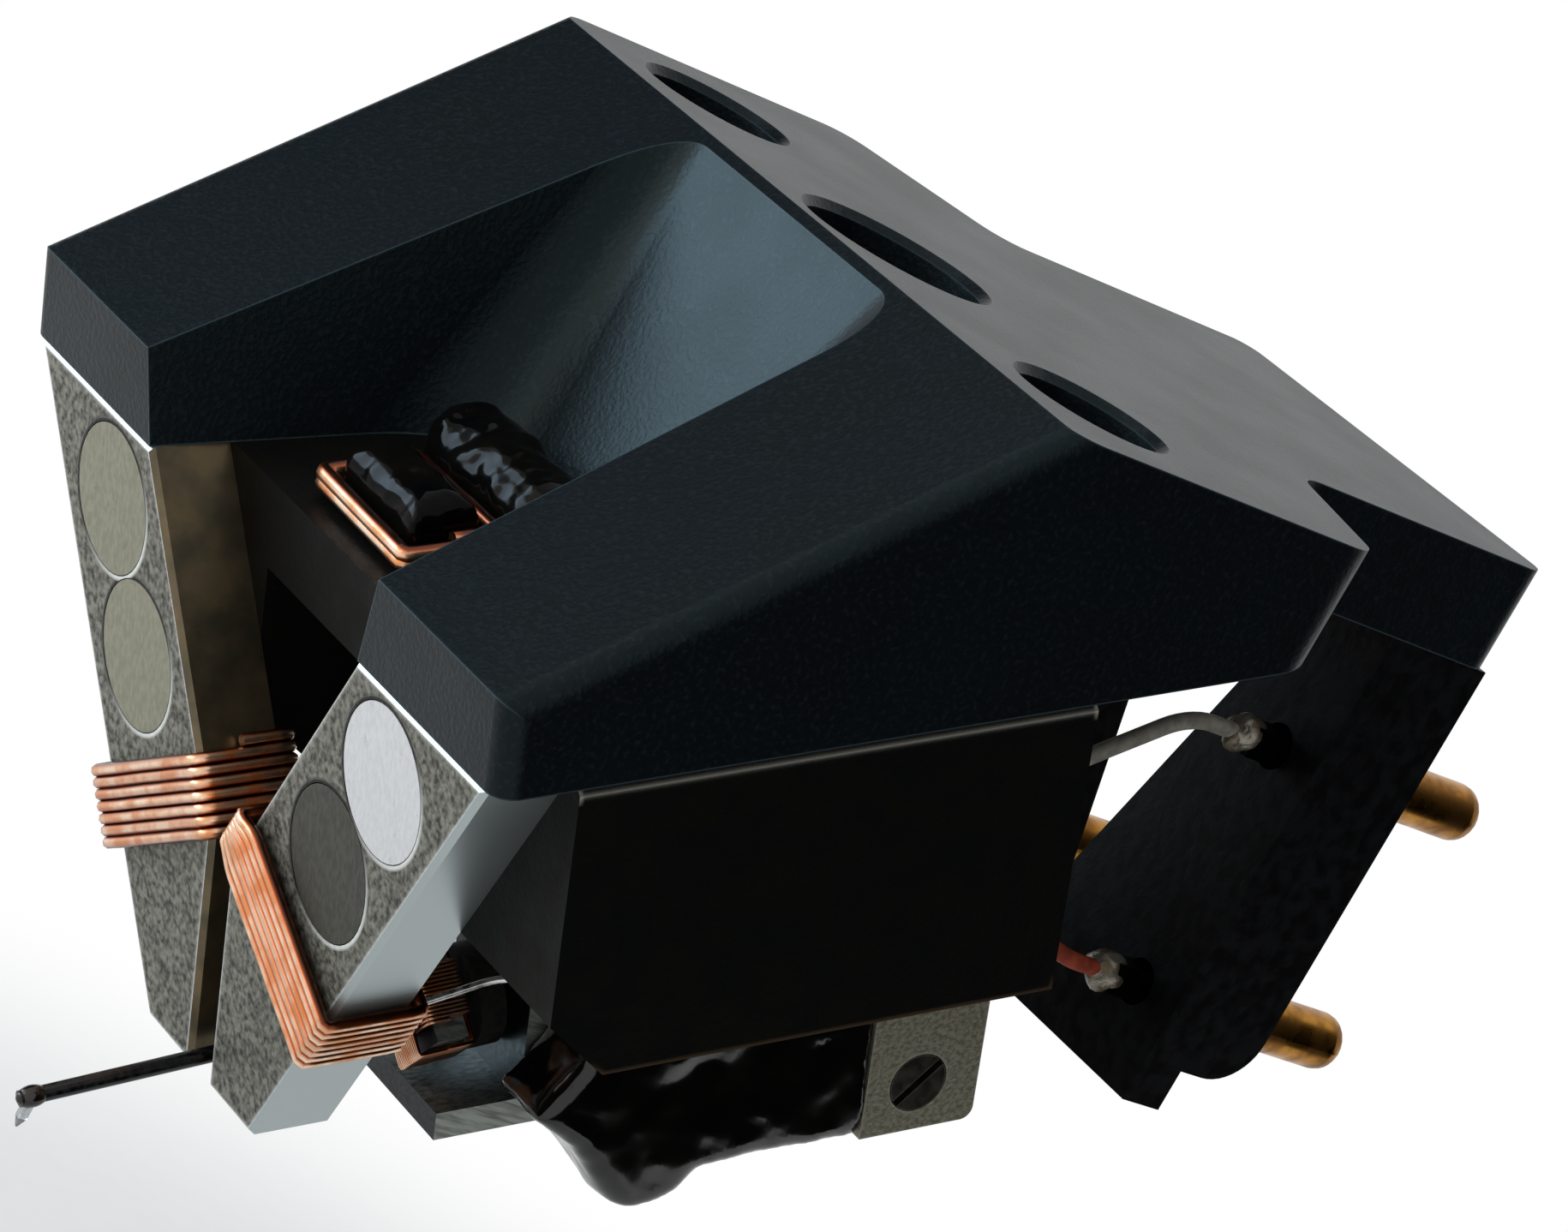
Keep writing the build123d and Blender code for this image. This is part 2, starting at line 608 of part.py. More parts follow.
# Moving coil: a square core on its corner, two crossed windings and the pipe that carries them
WINDING_STEP = WINDING_THICKNESS + PRESS_CLEARANCE
ARMATURE_REAR = 2 * WINDING_STEP + PRESS_CLEARANCE
ARMATURE_FRONT = ARMATURE_REAR + ARMATURE_DEPTH
PIPE_BORE = CANTILEVER_RADIUS + PRESS_CLEARANCE
PIPE_SEAT = PIPE_RADIUS + PRESS_CLEARANCE

with BuildPart() as armature:
    with BuildSketch(stylus_plane(ARMATURE_REAR)):
        Rectangle(ARMATURE_SIDE, ARMATURE_SIDE, rotation=ARMATURE_TURN)
        Circle(PIPE_SEAT, mode=Mode.SUBTRACT)
    extrude(amount=ARMATURE_DEPTH)
save(armature, "armature")

ARMATURE_CENTRE = PIVOT - AXIS_BACK * ((ARMATURE_REAR + ARMATURE_FRONT) / 2)
for layer, (side, sign) in enumerate(SIDES.items()):
    depth = ARMATURE_DEPTH + 2 * PRESS_CLEARANCE + 2 * layer * WINDING_STEP
    width = ARMATURE_SIDE + 2 * PRESS_CLEARANCE
    winding_axis = (RIGHT * sign + AXIS_UP).normalized()
    winding_plane = Plane(origin=ARMATURE_CENTRE, x_dir=AXIS_BACK, z_dir=winding_axis)
    with BuildPart() as winding:
        with BuildSketch(winding_plane):
            Rectangle(depth + 2 * WINDING_THICKNESS, width + 2 * WINDING_THICKNESS)
            Rectangle(depth, width, mode=Mode.SUBTRACT)
        extrude(amount=WINDING_WIDTH / 2, both=True)
        with BuildSketch(stylus_plane(0)):
            Circle(PIPE_SEAT)
        extrude(amount=PIPE_LENGTH, mode=Mode.SUBTRACT)
    save(winding, f"winding_{side}")

with BuildPart() as joint_pipe:
    with BuildSketch(stylus_plane(PRESS_CLEARANCE)):
        Circle(PIPE_RADIUS)
        Circle(PIPE_BORE, mode=Mode.SUBTRACT)
    extrude(amount=PIPE_LENGTH)
save(joint_pipe, "joint_pipe")

with BuildPart() as cantilever:
    with BuildSketch(stylus_plane(ARMATURE_REAR)):
        Circle(CANTILEVER_RADIUS)
    extrude(amount=CANTILEVER_LENGTH)
save(cantilever, "cantilever")

# Stylus: a square shank ground to a point, seated under the end of the cantilever
STYLUS_SEAT = PIVOT - AXIS_BACK * (ARMATURE_REAR + CANTILEVER_LENGTH - STYLUS_SETBACK)
POINT_START = STYLUS_SEAT - Vector(0, 0, STYLUS_LENGTH - STYLUS_POINT_LENGTH)
POINT_END = STYLUS_SEAT - Vector(0, 0, STYLUS_LENGTH)
with BuildPart() as stylus_tip:
    with BuildSketch(Plane(origin=STYLUS_SEAT)):
        Rectangle(STYLUS_WIDTH, STYLUS_WIDTH)
    extrude(amount=STYLUS_POINT_LENGTH - STYLUS_LENGTH)
    with BuildSketch(Plane(origin=POINT_START)):
        Rectangle(STYLUS_WIDTH, STYLUS_WIDTH)
    with BuildSketch(Plane(origin=POINT_END)):
        Rectangle(STYLUS_POINT_WIDTH, STYLUS_POINT_WIDTH)
    loft(ruled=True)
    add(cantilever.part, mode=Mode.SUBTRACT)
save(stylus_tip, "stylus_tip")


# Rear terminal wall: plate with a V-shaped opening, a block behind each leg, four pins
PLATE_REAR_Y = PLATE_FRONT_Y + PLATE_THICKNESS
BLOCK_REAR_Y = TAIL_REAR_Y - BLOCK_INSET
PIN_PLACES = {"upper": PIN_UPPER_Z, "lower": PIN_UPPER_Z - PIN_SPACING_Z}
PIN_HOLE = PIN_SHANK_SIDE / math.sqrt(2) + SEAT_CLEARANCE


def notch_half_width(z):
    """Half width of the V-shaped opening at a height."""
    return NOTCH_TOP_HALF + (z + TAIL_THICKNESS) * math.tan(math.radians(NOTCH_ANGLE))


def wall_plane(y):
    """Upright plane across the wall: local x is right, local y is up, facing the front."""
    return Plane.XZ.offset(-y)


with BuildPart() as terminal_plate:
    with BuildSketch(wall_plane(PLATE_FRONT_Y)) as plate_outline:
        with BuildLine():
            Polyline(
                (notch_half_width(-TAIL_THICKNESS), -TAIL_THICKNESS),
                (TAIL_WIDTH / 2, -TAIL_THICKNESS),
                (TAIL_WIDTH / 2, PLATE_BOTTOM_Z),
                (-TAIL_WIDTH / 2, PLATE_BOTTOM_Z),
                (-TAIL_WIDTH / 2, -TAIL_THICKNESS),
                (-notch_half_width(-TAIL_THICKNESS), -TAIL_THICKNESS),
                (-notch_half_width(NOTCH_BOTTOM_Z), NOTCH_BOTTOM_Z),
                (notch_half_width(NOTCH_BOTTOM_Z), NOTCH_BOTTOM_Z),
                close=True,
            )
        make_face()
        fillet(plate_outline.vertices().group_by(Axis.Y)[1], NOTCH_END_RADIUS)
        with Locations(*[(s * PIN_X, z) for s in SIDES.values() for z in PIN_PLACES.values()]):
            Circle(PIN_HOLE, mode=Mode.SUBTRACT)
    extrude(amount=-PLATE_THICKNESS)
save(terminal_plate, "terminal_plate")

for side, sign in SIDES.items():
    outer = sign * (TAIL_WIDTH / 2 - BLOCK_INSET)
    with BuildPart() as terminal_block:
        with BuildSketch(wall_plane(PLATE_REAR_Y)):
            with BuildLine():
                Polyline(
                    (sign * (notch_half_width(-TAIL_THICKNESS) + BLOCK_NOTCH_STEP), -TAIL_THICKNESS),
                    (outer, -TAIL_THICKNESS),
                    (outer, BLOCK_BOTTOM_Z),
                    (sign * (notch_half_width(BLOCK_BOTTOM_Z) + BLOCK_NOTCH_STEP), BLOCK_BOTTOM_Z),
                    close=True,
                )
            make_face()
            with Locations(*[(sign * PIN_X, z) for z in PIN_PLACES.values()]):
                Circle(PIN_BOSS_RADIUS)
        extrude(amount=PLATE_REAR_Y - BLOCK_REAR_Y)
        heel = terminal_block.faces().sort_by(Axis.Y)[-1].edges().filter_by(Axis.X).sort_by(Axis.Z)[0]
        fillet(heel, BLOCK_HEEL_RADIUS)
        with BuildSketch(wall_plane(PLATE_REAR_Y)):
            with Locations(*[(sign * PIN_X, z) for z in PIN_PLACES.values()]):
                Circle(PIN_HOLE)
        extrude(amount=PLATE_REAR_Y - TAIL_REAR_Y, mode=Mode.SUBTRACT)
    save(terminal_block, f"terminal_block_{side}")

PIN_FRONT_Y = PLATE_FRONT_Y - PIN_STUB
for side, sign in SIDES.items():
    for row, z in PIN_PLACES.items():
        with BuildPart() as terminal_pin:
            with BuildSketch(wall_plane(PIN_FRONT_Y)):
                with Locations((sign * PIN_X, z)):
                    Rectangle(PIN_SHANK_SIDE, PIN_SHANK_SIDE)
            extrude(amount=PIN_FRONT_Y - TAIL_REAR_Y)
            with BuildSketch(wall_plane(TAIL_REAR_Y)):
                with Locations((sign * PIN_X, z)):
                    Circle(PIN_RADIUS)
            extrude(amount=-PIN_REACH)
            fillet(terminal_pin.edges().sort_by(Axis.Y)[-1], PIN_TIP_RADIUS)
        save(terminal_pin, f"terminal_pin_{side}_{row}")


def tube(points, radius, bend):
    """A round lead along straight runs joined by tangent arcs."""
    with BuildPart() as lead:
        with BuildLine() as route:
            FilletPolyline(*points, radius=bend)
        path = route.wires()[0]
        with BuildSketch(Plane(origin=path @ 0, z_dir=path % 0)):
            Circle(radius)
        sweep(path=path)
    return lead


# Leads: the insulated pair from the holder to each side's pins, and the fine coil leads
COIL_LEAD_END_BACK = HOLDER_FRONT - COIL_LEAD_RADIUS
for side, sign in SIDES.items():
    for row, z in PIN_PLACES.items():
        exit_point = generator_point(sign * LEAD_EXIT_X[row], HOLDER_REAR, LEAD_EXIT_RISE[row] - CLAMP_TOP)
        pin_end = Vector(sign * PIN_X, PIN_FRONT_Y, z)
        route_points = [
            exit_point,
            exit_point + BACK * LEAD_EXIT_RUN[row],
            pin_end - Vector(0, LEAD_PIN_RUN, 0),
            pin_end,
        ]
        save(tube(route_points, OUTPUT_LEAD_RADIUS, LEAD_BEND), f"output_lead_{side}_{row}")
    coil_route = [
        generator_point(sign * COIL_LEAD_START_X, COIL_LEAD_START_BACK, COIL_LEAD_START_RISE - AXIS_DROP),
        generator_point(sign * COIL_LEAD_KNEE_X, PIVOT_BACK, COIL_LEAD_KNEE_RISE - AXIS_DROP),
        generator_point(sign * COIL_LEAD_END_X, COIL_LEAD_END_BACK, COIL_LEAD_END_RISE - AXIS_DROP),
    ]
    save(tube(coil_route, COIL_LEAD_RADIUS, COIL_LEAD_BEND), f"coil_lead_{side}")
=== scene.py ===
"""Looks of an open-frame moving-coil phono cartridge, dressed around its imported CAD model."""

import json

import bmesh
import bpy
from bpy.props import FloatProperty, FloatVectorProperty, IntProperty, PointerProperty
from mathutils import Matrix, Vector, noise


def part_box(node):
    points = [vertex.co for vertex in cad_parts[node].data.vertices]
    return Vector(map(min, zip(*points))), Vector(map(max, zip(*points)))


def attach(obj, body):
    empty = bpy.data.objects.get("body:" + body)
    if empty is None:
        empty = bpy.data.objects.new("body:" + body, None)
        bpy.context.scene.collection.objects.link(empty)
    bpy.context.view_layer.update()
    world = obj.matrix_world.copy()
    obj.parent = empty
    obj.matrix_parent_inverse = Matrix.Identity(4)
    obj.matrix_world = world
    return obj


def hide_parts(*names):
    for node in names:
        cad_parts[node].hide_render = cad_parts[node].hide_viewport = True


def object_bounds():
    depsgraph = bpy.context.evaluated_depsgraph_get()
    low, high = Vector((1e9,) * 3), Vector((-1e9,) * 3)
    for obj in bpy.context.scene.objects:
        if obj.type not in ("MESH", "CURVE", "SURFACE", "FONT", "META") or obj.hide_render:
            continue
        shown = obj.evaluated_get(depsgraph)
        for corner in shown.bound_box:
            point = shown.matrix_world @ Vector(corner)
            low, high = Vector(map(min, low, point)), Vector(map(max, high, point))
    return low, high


bl_info = {
    "name": "Phono Cartridge",
    "version": (1, 0, 0),
    "blender": (4, 5, 0),
    "location": "3D View > Sidebar > Cartridge",
    "description": "Dresses the packed model of a moving-coil phono cartridge",
    "category": "Add Mesh",
}

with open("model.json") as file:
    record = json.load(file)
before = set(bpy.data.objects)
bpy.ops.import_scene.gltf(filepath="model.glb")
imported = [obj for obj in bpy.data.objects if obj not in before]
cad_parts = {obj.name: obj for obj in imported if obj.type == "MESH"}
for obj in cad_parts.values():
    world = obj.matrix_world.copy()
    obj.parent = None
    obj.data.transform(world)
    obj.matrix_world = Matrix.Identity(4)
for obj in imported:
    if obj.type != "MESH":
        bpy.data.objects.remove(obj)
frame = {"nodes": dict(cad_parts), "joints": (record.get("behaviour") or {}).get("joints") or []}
CAD_BOUNDS = [list(corner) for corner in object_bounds()]

MM = 0.001
SIDES = {"left": -1, "right": 1}
ROWS = ("upper", "lower")
FIXED_BODY = "cartridge_body"
ARM_BODY = "stylus_arm"


def linear(hex_colour):
    """An sRGB hex colour as linear red, green, blue and alpha, by the standard's own curve."""
    levels = [int(hex_colour[start : start + 2], 16) / 255 for start in (1, 3, 5)]
    curve = [v / 12.92 if v <= 0.04045 else ((v + 0.055) / 1.055) ** 2.4 for v in levels]
    return (*curve, 1.0)


def add(tree, kind, inputs=None, **settings):
    """Add a node: settings are its properties, inputs its sockets' values, links or nodes."""
    node = tree.nodes.new(kind)
    for name, value in settings.items():
        setattr(node, name, value)
    for name, value in (inputs or {}).items():
        if isinstance(value, bpy.types.Node):
            value = next(socket for socket in value.outputs if socket.enabled)
        if isinstance(value, bpy.types.NodeSocket):
            tree.links.new(value, node.inputs[name])
        else:
            node.inputs[name].default_value = value
    return node


# Sockets of a Mix node that mixes colours, and the setting that makes it do so
FACTOR, A, B = 0, 6, 7
RGBA = {"data_type": "RGBA"}


def middle(node):
    """Centre of a CAD node's box."""
    low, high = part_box(node)
    return (low + high) / 2


def span(node, direction):
    """Lowest and highest reach of a CAD node along a direction."""
    reach = [vertex.co.dot(direction) for vertex in frame["nodes"][node].data.vertices]
    return min(reach), max(reach)


# The tilted generator's own directions, read from its magnets, and the stylus's from its joint
RIGHT = Vector((1, 0, 0))
BACK = (middle("magnet_left_upper_rear") - middle("magnet_left_upper_front")).normalized()
UP = RIGHT.cross(BACK)
SWING = next(joint for joint in frame["joints"] if joint["name"] == "stylus_swing")
STYLUS_UP = Vector(SWING["axis"])
STYLUS_BACK = STYLUS_UP.cross(RIGHT)


class CartridgeSizes(bpy.types.PropertyGroup):
    """Sizes of what is wound, poured and soldered on the cartridge."""

    bar_coil_turns: IntProperty(
        name="Bar coil turns",
        description="Turns of wire on each bar of the V",
        default=7,
        min=2,
    )
    centre_coil_turns: IntProperty(
        name="Centre coil turns",
        description="Turns of wire on the core in the scoop",
        default=2,
        min=1,
    )
    winding_turns: IntProperty(
        name="Moving coil turns",
        description="Turns in each winding of the moving coil",
        default=14,
        min=2,
    )
    wire_wander: FloatProperty(
        name="Wire wander",
        description="How far a turn strays from its place",
        default=0.02 * MM,
        unit="LENGTH",
    )
    gather: FloatProperty(
        name="Gather",
        description="Share by which the right coil's turns draw together on the outer side",
        default=0.35,
        min=0.0,
        max=0.6,
        subtype="FACTOR",
    )
    resin_swell: FloatProperty(
        name="Resin swell",
        description="Height of the lumps in the poured resin",
        default=0.24 * MM,
        unit="LENGTH",
    )
    solder_radius: FloatProperty(
        name="Solder radius",
        description="Radius of the solder on a pin's front end",
        default=0.38 * MM,
        unit="LENGTH",
    )


class CartridgeFinishes(bpy.types.PropertyGroup):
    """Colours of the cartridge's finishes."""

    lacquer: FloatVectorProperty(
        name="Lacquer", description="Headblock", subtype="COLOR", size=4, default=linear("#0c1115")
    )
    frame_paint: FloatVectorProperty(
        name="Frame paint",
        description="Magnet frame",
        subtype="COLOR",
        size=4,
        default=linear("#0b0d0c"),
    )
    nickel: FloatVectorProperty(
        name="Nickel", description="Yoke bars", subtype="COLOR", size=4, default=linear("#86857a")
    )
    # Copper's colour is the pale painted highlight on the wires' crowns
    copper: FloatVectorProperty(
        name="Copper", description="Wound wire", subtype="COLOR", size=4, default=linear("#ffdfc0")
    )
    resin: FloatVectorProperty(
        name="Resin",
        description="Pole holder and potting",
        subtype="COLOR",
        size=4,
        default=linear("#050607"),
    )
    gold: FloatVectorProperty(
        name="Gold", description="Terminal pins", subtype="COLOR", size=4, default=linear("#a8752a")
    )


class CartridgeStage(bpy.types.PropertyGroup):
    """Camera, floor and light."""

    lens: FloatProperty(name="Lens", description="Focal length", default=149.38, unit="CAMERA")
    floor_drop: FloatProperty(
        name="Floor drop",
        description="Floor below the stylus tip",
        default=7 * MM,
        unit="LENGTH",
    )
    key_power: FloatProperty(
        name="Key power", description="Large lamp at the left", default=0.57, unit="POWER"
    )
    fill_power: FloatProperty(
        name="Fill power", description="Lamp at the front", default=0.16, unit="POWER"
    )
    world_level: FloatProperty(
        name="World level",
        description="Even light from all round",
        default=0.42,
        min=0.0,
        max=1.0,
        subtype="FACTOR",
    )


def start_material(name):
    """A new material with an empty tree; returns both, and the Object coordinates."""
    material = bpy.data.materials.new(name)
    material.use_nodes = True
    tree = material.node_tree
    tree.nodes.clear()
    return material, tree, add(tree, "ShaderNodeTexCoord").outputs["Object"]


def finish_material(material, colour, roughness, relief=None, **sockets):
    """Give a material its shader: links for what varies over the surface, values for the rest."""
    sockets.update({"Base Color": colour, "Roughness": roughness})
    if relief:
        sockets["Normal"] = relief
    shader = add(material.node_tree, "ShaderNodeBsdfPrincipled", sockets)
    add(material.node_tree, "ShaderNodeOutputMaterial", {"Surface": shader})
    return material


def patches(tree, place, size_mm, low=0.38, high=0.62, detail=3.0):
    """A field from 0 to 1 in patches of about the given size in millimetres."""
    cloud = add(
        tree,
        "ShaderNodeTexNoise",
        {"Vector": place, "Scale": 1 / (size_mm * MM), "Detail": detail},
    )
    return add(tree, "ShaderNodeMapRange", {"Value": cloud, "From Min": low, "From Max": high})


# Cosine between the rounded and the true normal where an edge mark starts and where it is
# full: wear on some finishes, a painted highlight on others
EDGE_MARK_STARTS, EDGE_MARK_FULL = 0.985, 0.9
BEVEL_SAMPLES = 6


def wear_and_highlight_edges(tree, width_mm):
    """1 along outer edges and 0 on flats: how far a rounded normal leaves the true one."""
    rounded = add(tree, "ShaderNodeBevel", {"Radius": width_mm * MM}, samples=BEVEL_SAMPLES)
    normal = add(tree, "ShaderNodeNewGeometry").outputs["True Normal"]
    match = add(tree, "ShaderNodeVectorMath", {0: rounded, 1: normal}, operation="DOT_PRODUCT")
    return add(
        tree,
        "ShaderNodeMapRange",
        {"Value": match, "From Min": EDGE_MARK_STARTS, "From Max": EDGE_MARK_FULL},
    )


def front_faces(tree, starts, full):
    """1 on faces that look forward from the generator, rising between two cosines of the angle."""
    normal = add(tree, "ShaderNodeNewGeometry").outputs["True Normal"]
    facing = add(
        tree, "ShaderNodeVectorMath", {0: normal, 1: tuple(-BACK)}, operation="DOT_PRODUCT"
    )
    return add(tree, "ShaderNodeMapRange", {"Value": facing, "From Min": starts, "From Max": full})


def mottled(name, patch_mm, colours, roughness, height_mm=0.0, **sockets):
    """A finish that drifts between two colours and two roughnesses, and may rise with them."""
    material, tree, place = start_material(name)
    field = patches(tree, place, patch_mm)
    first, second = (linear(colour) for colour in colours)
    colour = add(tree, "ShaderNodeMix", {FACTOR: field, A: first, B: second}, **RGBA)
    low, high = roughness
    rough = add(tree, "ShaderNodeMapRange", {"Value": field, "To Min": low, "To Max": high})
    relief = None
    if height_mm:
        relief = add(tree, "ShaderNodeBump", {"Height": field, "Distance": height_mm * MM})
    return finish_material(material, colour, rough, relief, **sockets)


def satin_lacquer(colour):
    """Satin lacquer over machined aluminium."""
    # Sprayed lacquer: nearly black, with a pale speckle, a cool green-blue sheen and a thin pale
    # painted highlight along the edges. The speckle is drawn coarser than real pigment, so that it
    # shows
    material, tree, place = start_material("satin_lacquer")
    drift = patches(tree, place, size_mm=2.5)
    speckle = patches(tree, place, size_mm=0.1, low=0.52, high=0.72)
    grain = patches(tree, place, size_mm=0.1)
    edge = wear_and_highlight_edges(tree, width_mm=0.06)
    base = add(tree, "ShaderNodeMix", {FACTOR: drift, A: colour, B: linear("#0a0d10")}, **RGBA)
    flecked = add(tree, "ShaderNodeMix", {FACTOR: speckle, A: base, B: linear("#171e23")}, **RGBA)
    # Painted highlight: a thin pale teal line along the edges
    wear_and_highlight = add(tree, "ShaderNodeMix", {FACTOR: edge, A: flecked, B: linear("#3a4a50")}, **RGBA)
    rough = add(tree, "ShaderNodeMapRange", {"Value": drift, "To Min": 0.36, "To Max": 0.39})
    relief = add(tree, "ShaderNodeBump", {"Height": grain, "Distance": 0.003 * MM})
    sheen = {"Specular IOR Level": 0.15, "Specular Tint": linear("#d5fbff")}
    return finish_material(material, wear_and_highlight, rough, relief, **sheen)


# How far the painted highlight lines reach in from the frame's upper and lower edges, in
# millimetres
EDGE_LINE_REACH = 0.3


def frame_paint(colour):
    """Thin black paint on the cast frame."""
    # Brushed-on paint: dead black, with a pale painted highlight along the seam under the headblock
    # and a brown painted highlight along the lower edge
    material, tree, place = start_material("frame_paint")
    low, high = span("magnet_frame", UP)
    reach = EDGE_LINE_REACH * MM
    level = add(tree, "ShaderNodeVectorMath", {0: place, 1: tuple(UP)}, operation="DOT_PRODUCT")
    seam = add(
        tree, "ShaderNodeMapRange", {"Value": level, "From Min": high - reach, "From Max": high}
    )
    heel = add(
        tree, "ShaderNodeMapRange", {"Value": level, "From Min": low + reach, "From Max": low}
    )
    edge = wear_and_highlight_edges(tree, width_mm=0.18)
    normal = add(tree, "ShaderNodeNewGeometry").outputs["True Normal"]
    normal_x = add(tree, "ShaderNodeSeparateXYZ", {0: normal}).outputs["X"]
    sideways = add(tree, "ShaderNodeMath", {0: normal_x}, operation="ABSOLUTE")
    # Painted highlight: a pale line on the side faces along the seam under the headblock
    side = add(tree, "ShaderNodeMath", {0: sideways, 1: seam}, operation="MULTIPLY")
    bare_and_highlight = add(tree, "ShaderNodeMath", {0: edge, 1: side}, operation="MULTIPLY")
    # Painted highlight: a brown line along the lower edges
    rubbed_and_highlight = add(tree, "ShaderNodeMath", {0: edge, 1: heel}, operation="MULTIPLY")
    blotch = patches(tree, place, size_mm=0.7)
    grain = patches(tree, place, size_mm=0.12)
    base = add(tree, "ShaderNodeMix", {FACTOR: blotch, A: colour, B: linear("#0d0c0a")}, **RGBA)
    brown = add(tree, "ShaderNodeMix", {FACTOR: rubbed_and_highlight, A: base, B: linear("#4a3a2b")}, **RGBA)
    wear_and_highlight = add(tree, "ShaderNodeMix", {FACTOR: bare_and_highlight, A: brown, B: linear("#d6d3c8")}, **RGBA)
    rough = add(tree, "ShaderNodeMapRange", {"Value": blotch, "To Min": 0.4, "To Max": 0.5})
    relief = add(tree, "ShaderNodeBump", {"Height": grain, "Distance": 0.003 * MM})
    return finish_material(material, wear_and_highlight, rough, relief, **{"Specular IOR Level": 0.06})


# Width of the painted shade ring round a magnet in millimetres, and the way from its shaded side to
# the side where a highlight is painted
MAGNET_GAP = 0.12
GAP_SIDE = (RIGHT - UP).normalized()


def painted_magnet_rings(tree, place):
    """1 in the narrow ring round each magnet where a groove's shade is painted, and 1 on the ring's
    side where a highlight is painted.
    """
    gap_shade, lit = 0.0, 0.0
    for side in SIDES:
        for row in ROWS:
            magnet = f"magnet_{side}_{row}_front"
            low, high = span(magnet, RIGHT)
            radius = (high - low) / 2
            centre = tuple(middle(magnet))
            offset = add(
                tree, "ShaderNodeVectorMath", {0: place, 1: centre}, operation="SUBTRACT"
            )
            across = add(
                tree, "ShaderNodeVectorMath", {0: offset, 1: tuple(BACK)}, operation="CROSS_PRODUCT"
            )
            away = add(tree, "ShaderNodeVectorMath", {0: across}, operation="LENGTH")
            along = add(
                tree,
                "ShaderNodeVectorMath",
                {0: offset, 1: tuple(GAP_SIDE)},
                operation="DOT_PRODUCT",
            )
            near = add(
                tree,
                "ShaderNodeMapRange",
                {
                    "Value": away,
                    "From Min": radius + MAGNET_GAP * MM,
                    "From Max": radius + MAGNET_GAP * MM / 2,
                },
            )
            bright = add(
                tree, "ShaderNodeMapRange", {"Value": along, "From Min": 0.0, "From Max": radius}
            )
            shown = add(tree, "ShaderNodeMath", {0: near, 1: bright}, operation="MULTIPLY")
            gap_shade = add(tree, "ShaderNodeMath", {0: near, 1: gap_shade}, operation="MAXIMUM")
            lit = add(tree, "ShaderNodeMath", {0: shown, 1: lit}, operation="MAXIMUM")
    return gap_shade, lit


# How near the middle plane a bar's side counts as neither inner nor outer, in millimetres
OUTER_BLEND = 0.1


def nickel_plate(colour):
    """Dull nickel plate on the iron yoke bars."""
    # Blasted before plating: pitted grey in front, ground bright on the outer sides, and brown
    # painted shade on the sides inside the V. The pits are drawn coarser than real ones, so that
    # they show
    material, tree, place = start_material("nickel_plate")
    pits = patches(tree, place, size_mm=0.13, low=0.34, high=0.64, detail=10.0)
    shade_mottle = patches(tree, place, size_mm=0.9)
    front = front_faces(tree, starts=0.8, full=0.95)
    normal = add(tree, "ShaderNodeNewGeometry").outputs["True Normal"]
    normal_x = add(tree, "ShaderNodeSeparateXYZ", {0: normal}).outputs["X"]
    place_x = add(tree, "ShaderNodeSeparateXYZ", {0: place}).outputs["X"]
    outward = add(tree, "ShaderNodeMath", {0: place_x, 1: normal_x}, operation="MULTIPLY")
    outer = add(
        tree,
        "ShaderNodeMapRange",
        {"Value": outward, "From Min": -OUTER_BLEND * MM, "From Max": OUTER_BLEND * MM},
    )
    # Painted shade: brown on the sides inside the V, where the bars look into the scoop
    brown, pale = linear("#554f40"), linear("#74664e")
    inner_shade = add(tree, "ShaderNodeMix", {FACTOR: shade_mottle, A: brown, B: pale}, **RGBA)
    sides = add(tree, "ShaderNodeMix", {FACTOR: outer, A: inner_shade, B: linear("#b3bdbd")}, **RGBA)
    pitted = add(tree, "ShaderNodeMix", {FACTOR: pits, A: linear("#35342d"), B: colour}, **RGBA)
    base = add(tree, "ShaderNodeMix", {FACTOR: front, A: sides, B: pitted}, **RGBA)
    # Painted highlight: a near-white line along the edges of the front faces
    edge = wear_and_highlight_edges(tree, width_mm=0.16)
    rim_highlight = add(tree, "ShaderNodeMath", {0: edge, 1: front}, operation="MULTIPLY")
    # Painted shade in a ring round each magnet, with a painted highlight on one side of the ring
    gap_shade, lit = painted_magnet_rings(tree, place)
    rim_highlighted = add(tree, "ShaderNodeMix", {FACTOR: rim_highlight, A: base, B: linear("#f4f6f5")}, **RGBA)
    gap_shaded = add(tree, "ShaderNodeMix", {FACTOR: gap_shade, A: rim_highlighted, B: linear("#1b1a16")}, **RGBA)
    plated = add(tree, "ShaderNodeMix", {FACTOR: lit, A: gap_shaded, B: linear("#d8dad5")}, **RGBA)
    rough = add(tree, "ShaderNodeMapRange", {"Value": front, "To Min": 0.36, "To Max": 0.5})
    blasted = add(tree, "ShaderNodeMath", {0: pits, 1: front}, operation="MULTIPLY")
    relief = add(tree, "ShaderNodeBump", {"Height": blasted, "Distance": 0.008 * MM})
    return finish_material(material, plated, rough, relief, Metallic=0.85)


# How far a magnet's scratches are drawn out and turned, and how much its pits and scratches darken
SCRATCH_SCALE = (1.0, 1.0, 0.12)
SCRATCH_TURN = (0.5, 0.3, 0.2)
PIT_SHADE, SCRATCH_SHADE = 0.6, 0.25


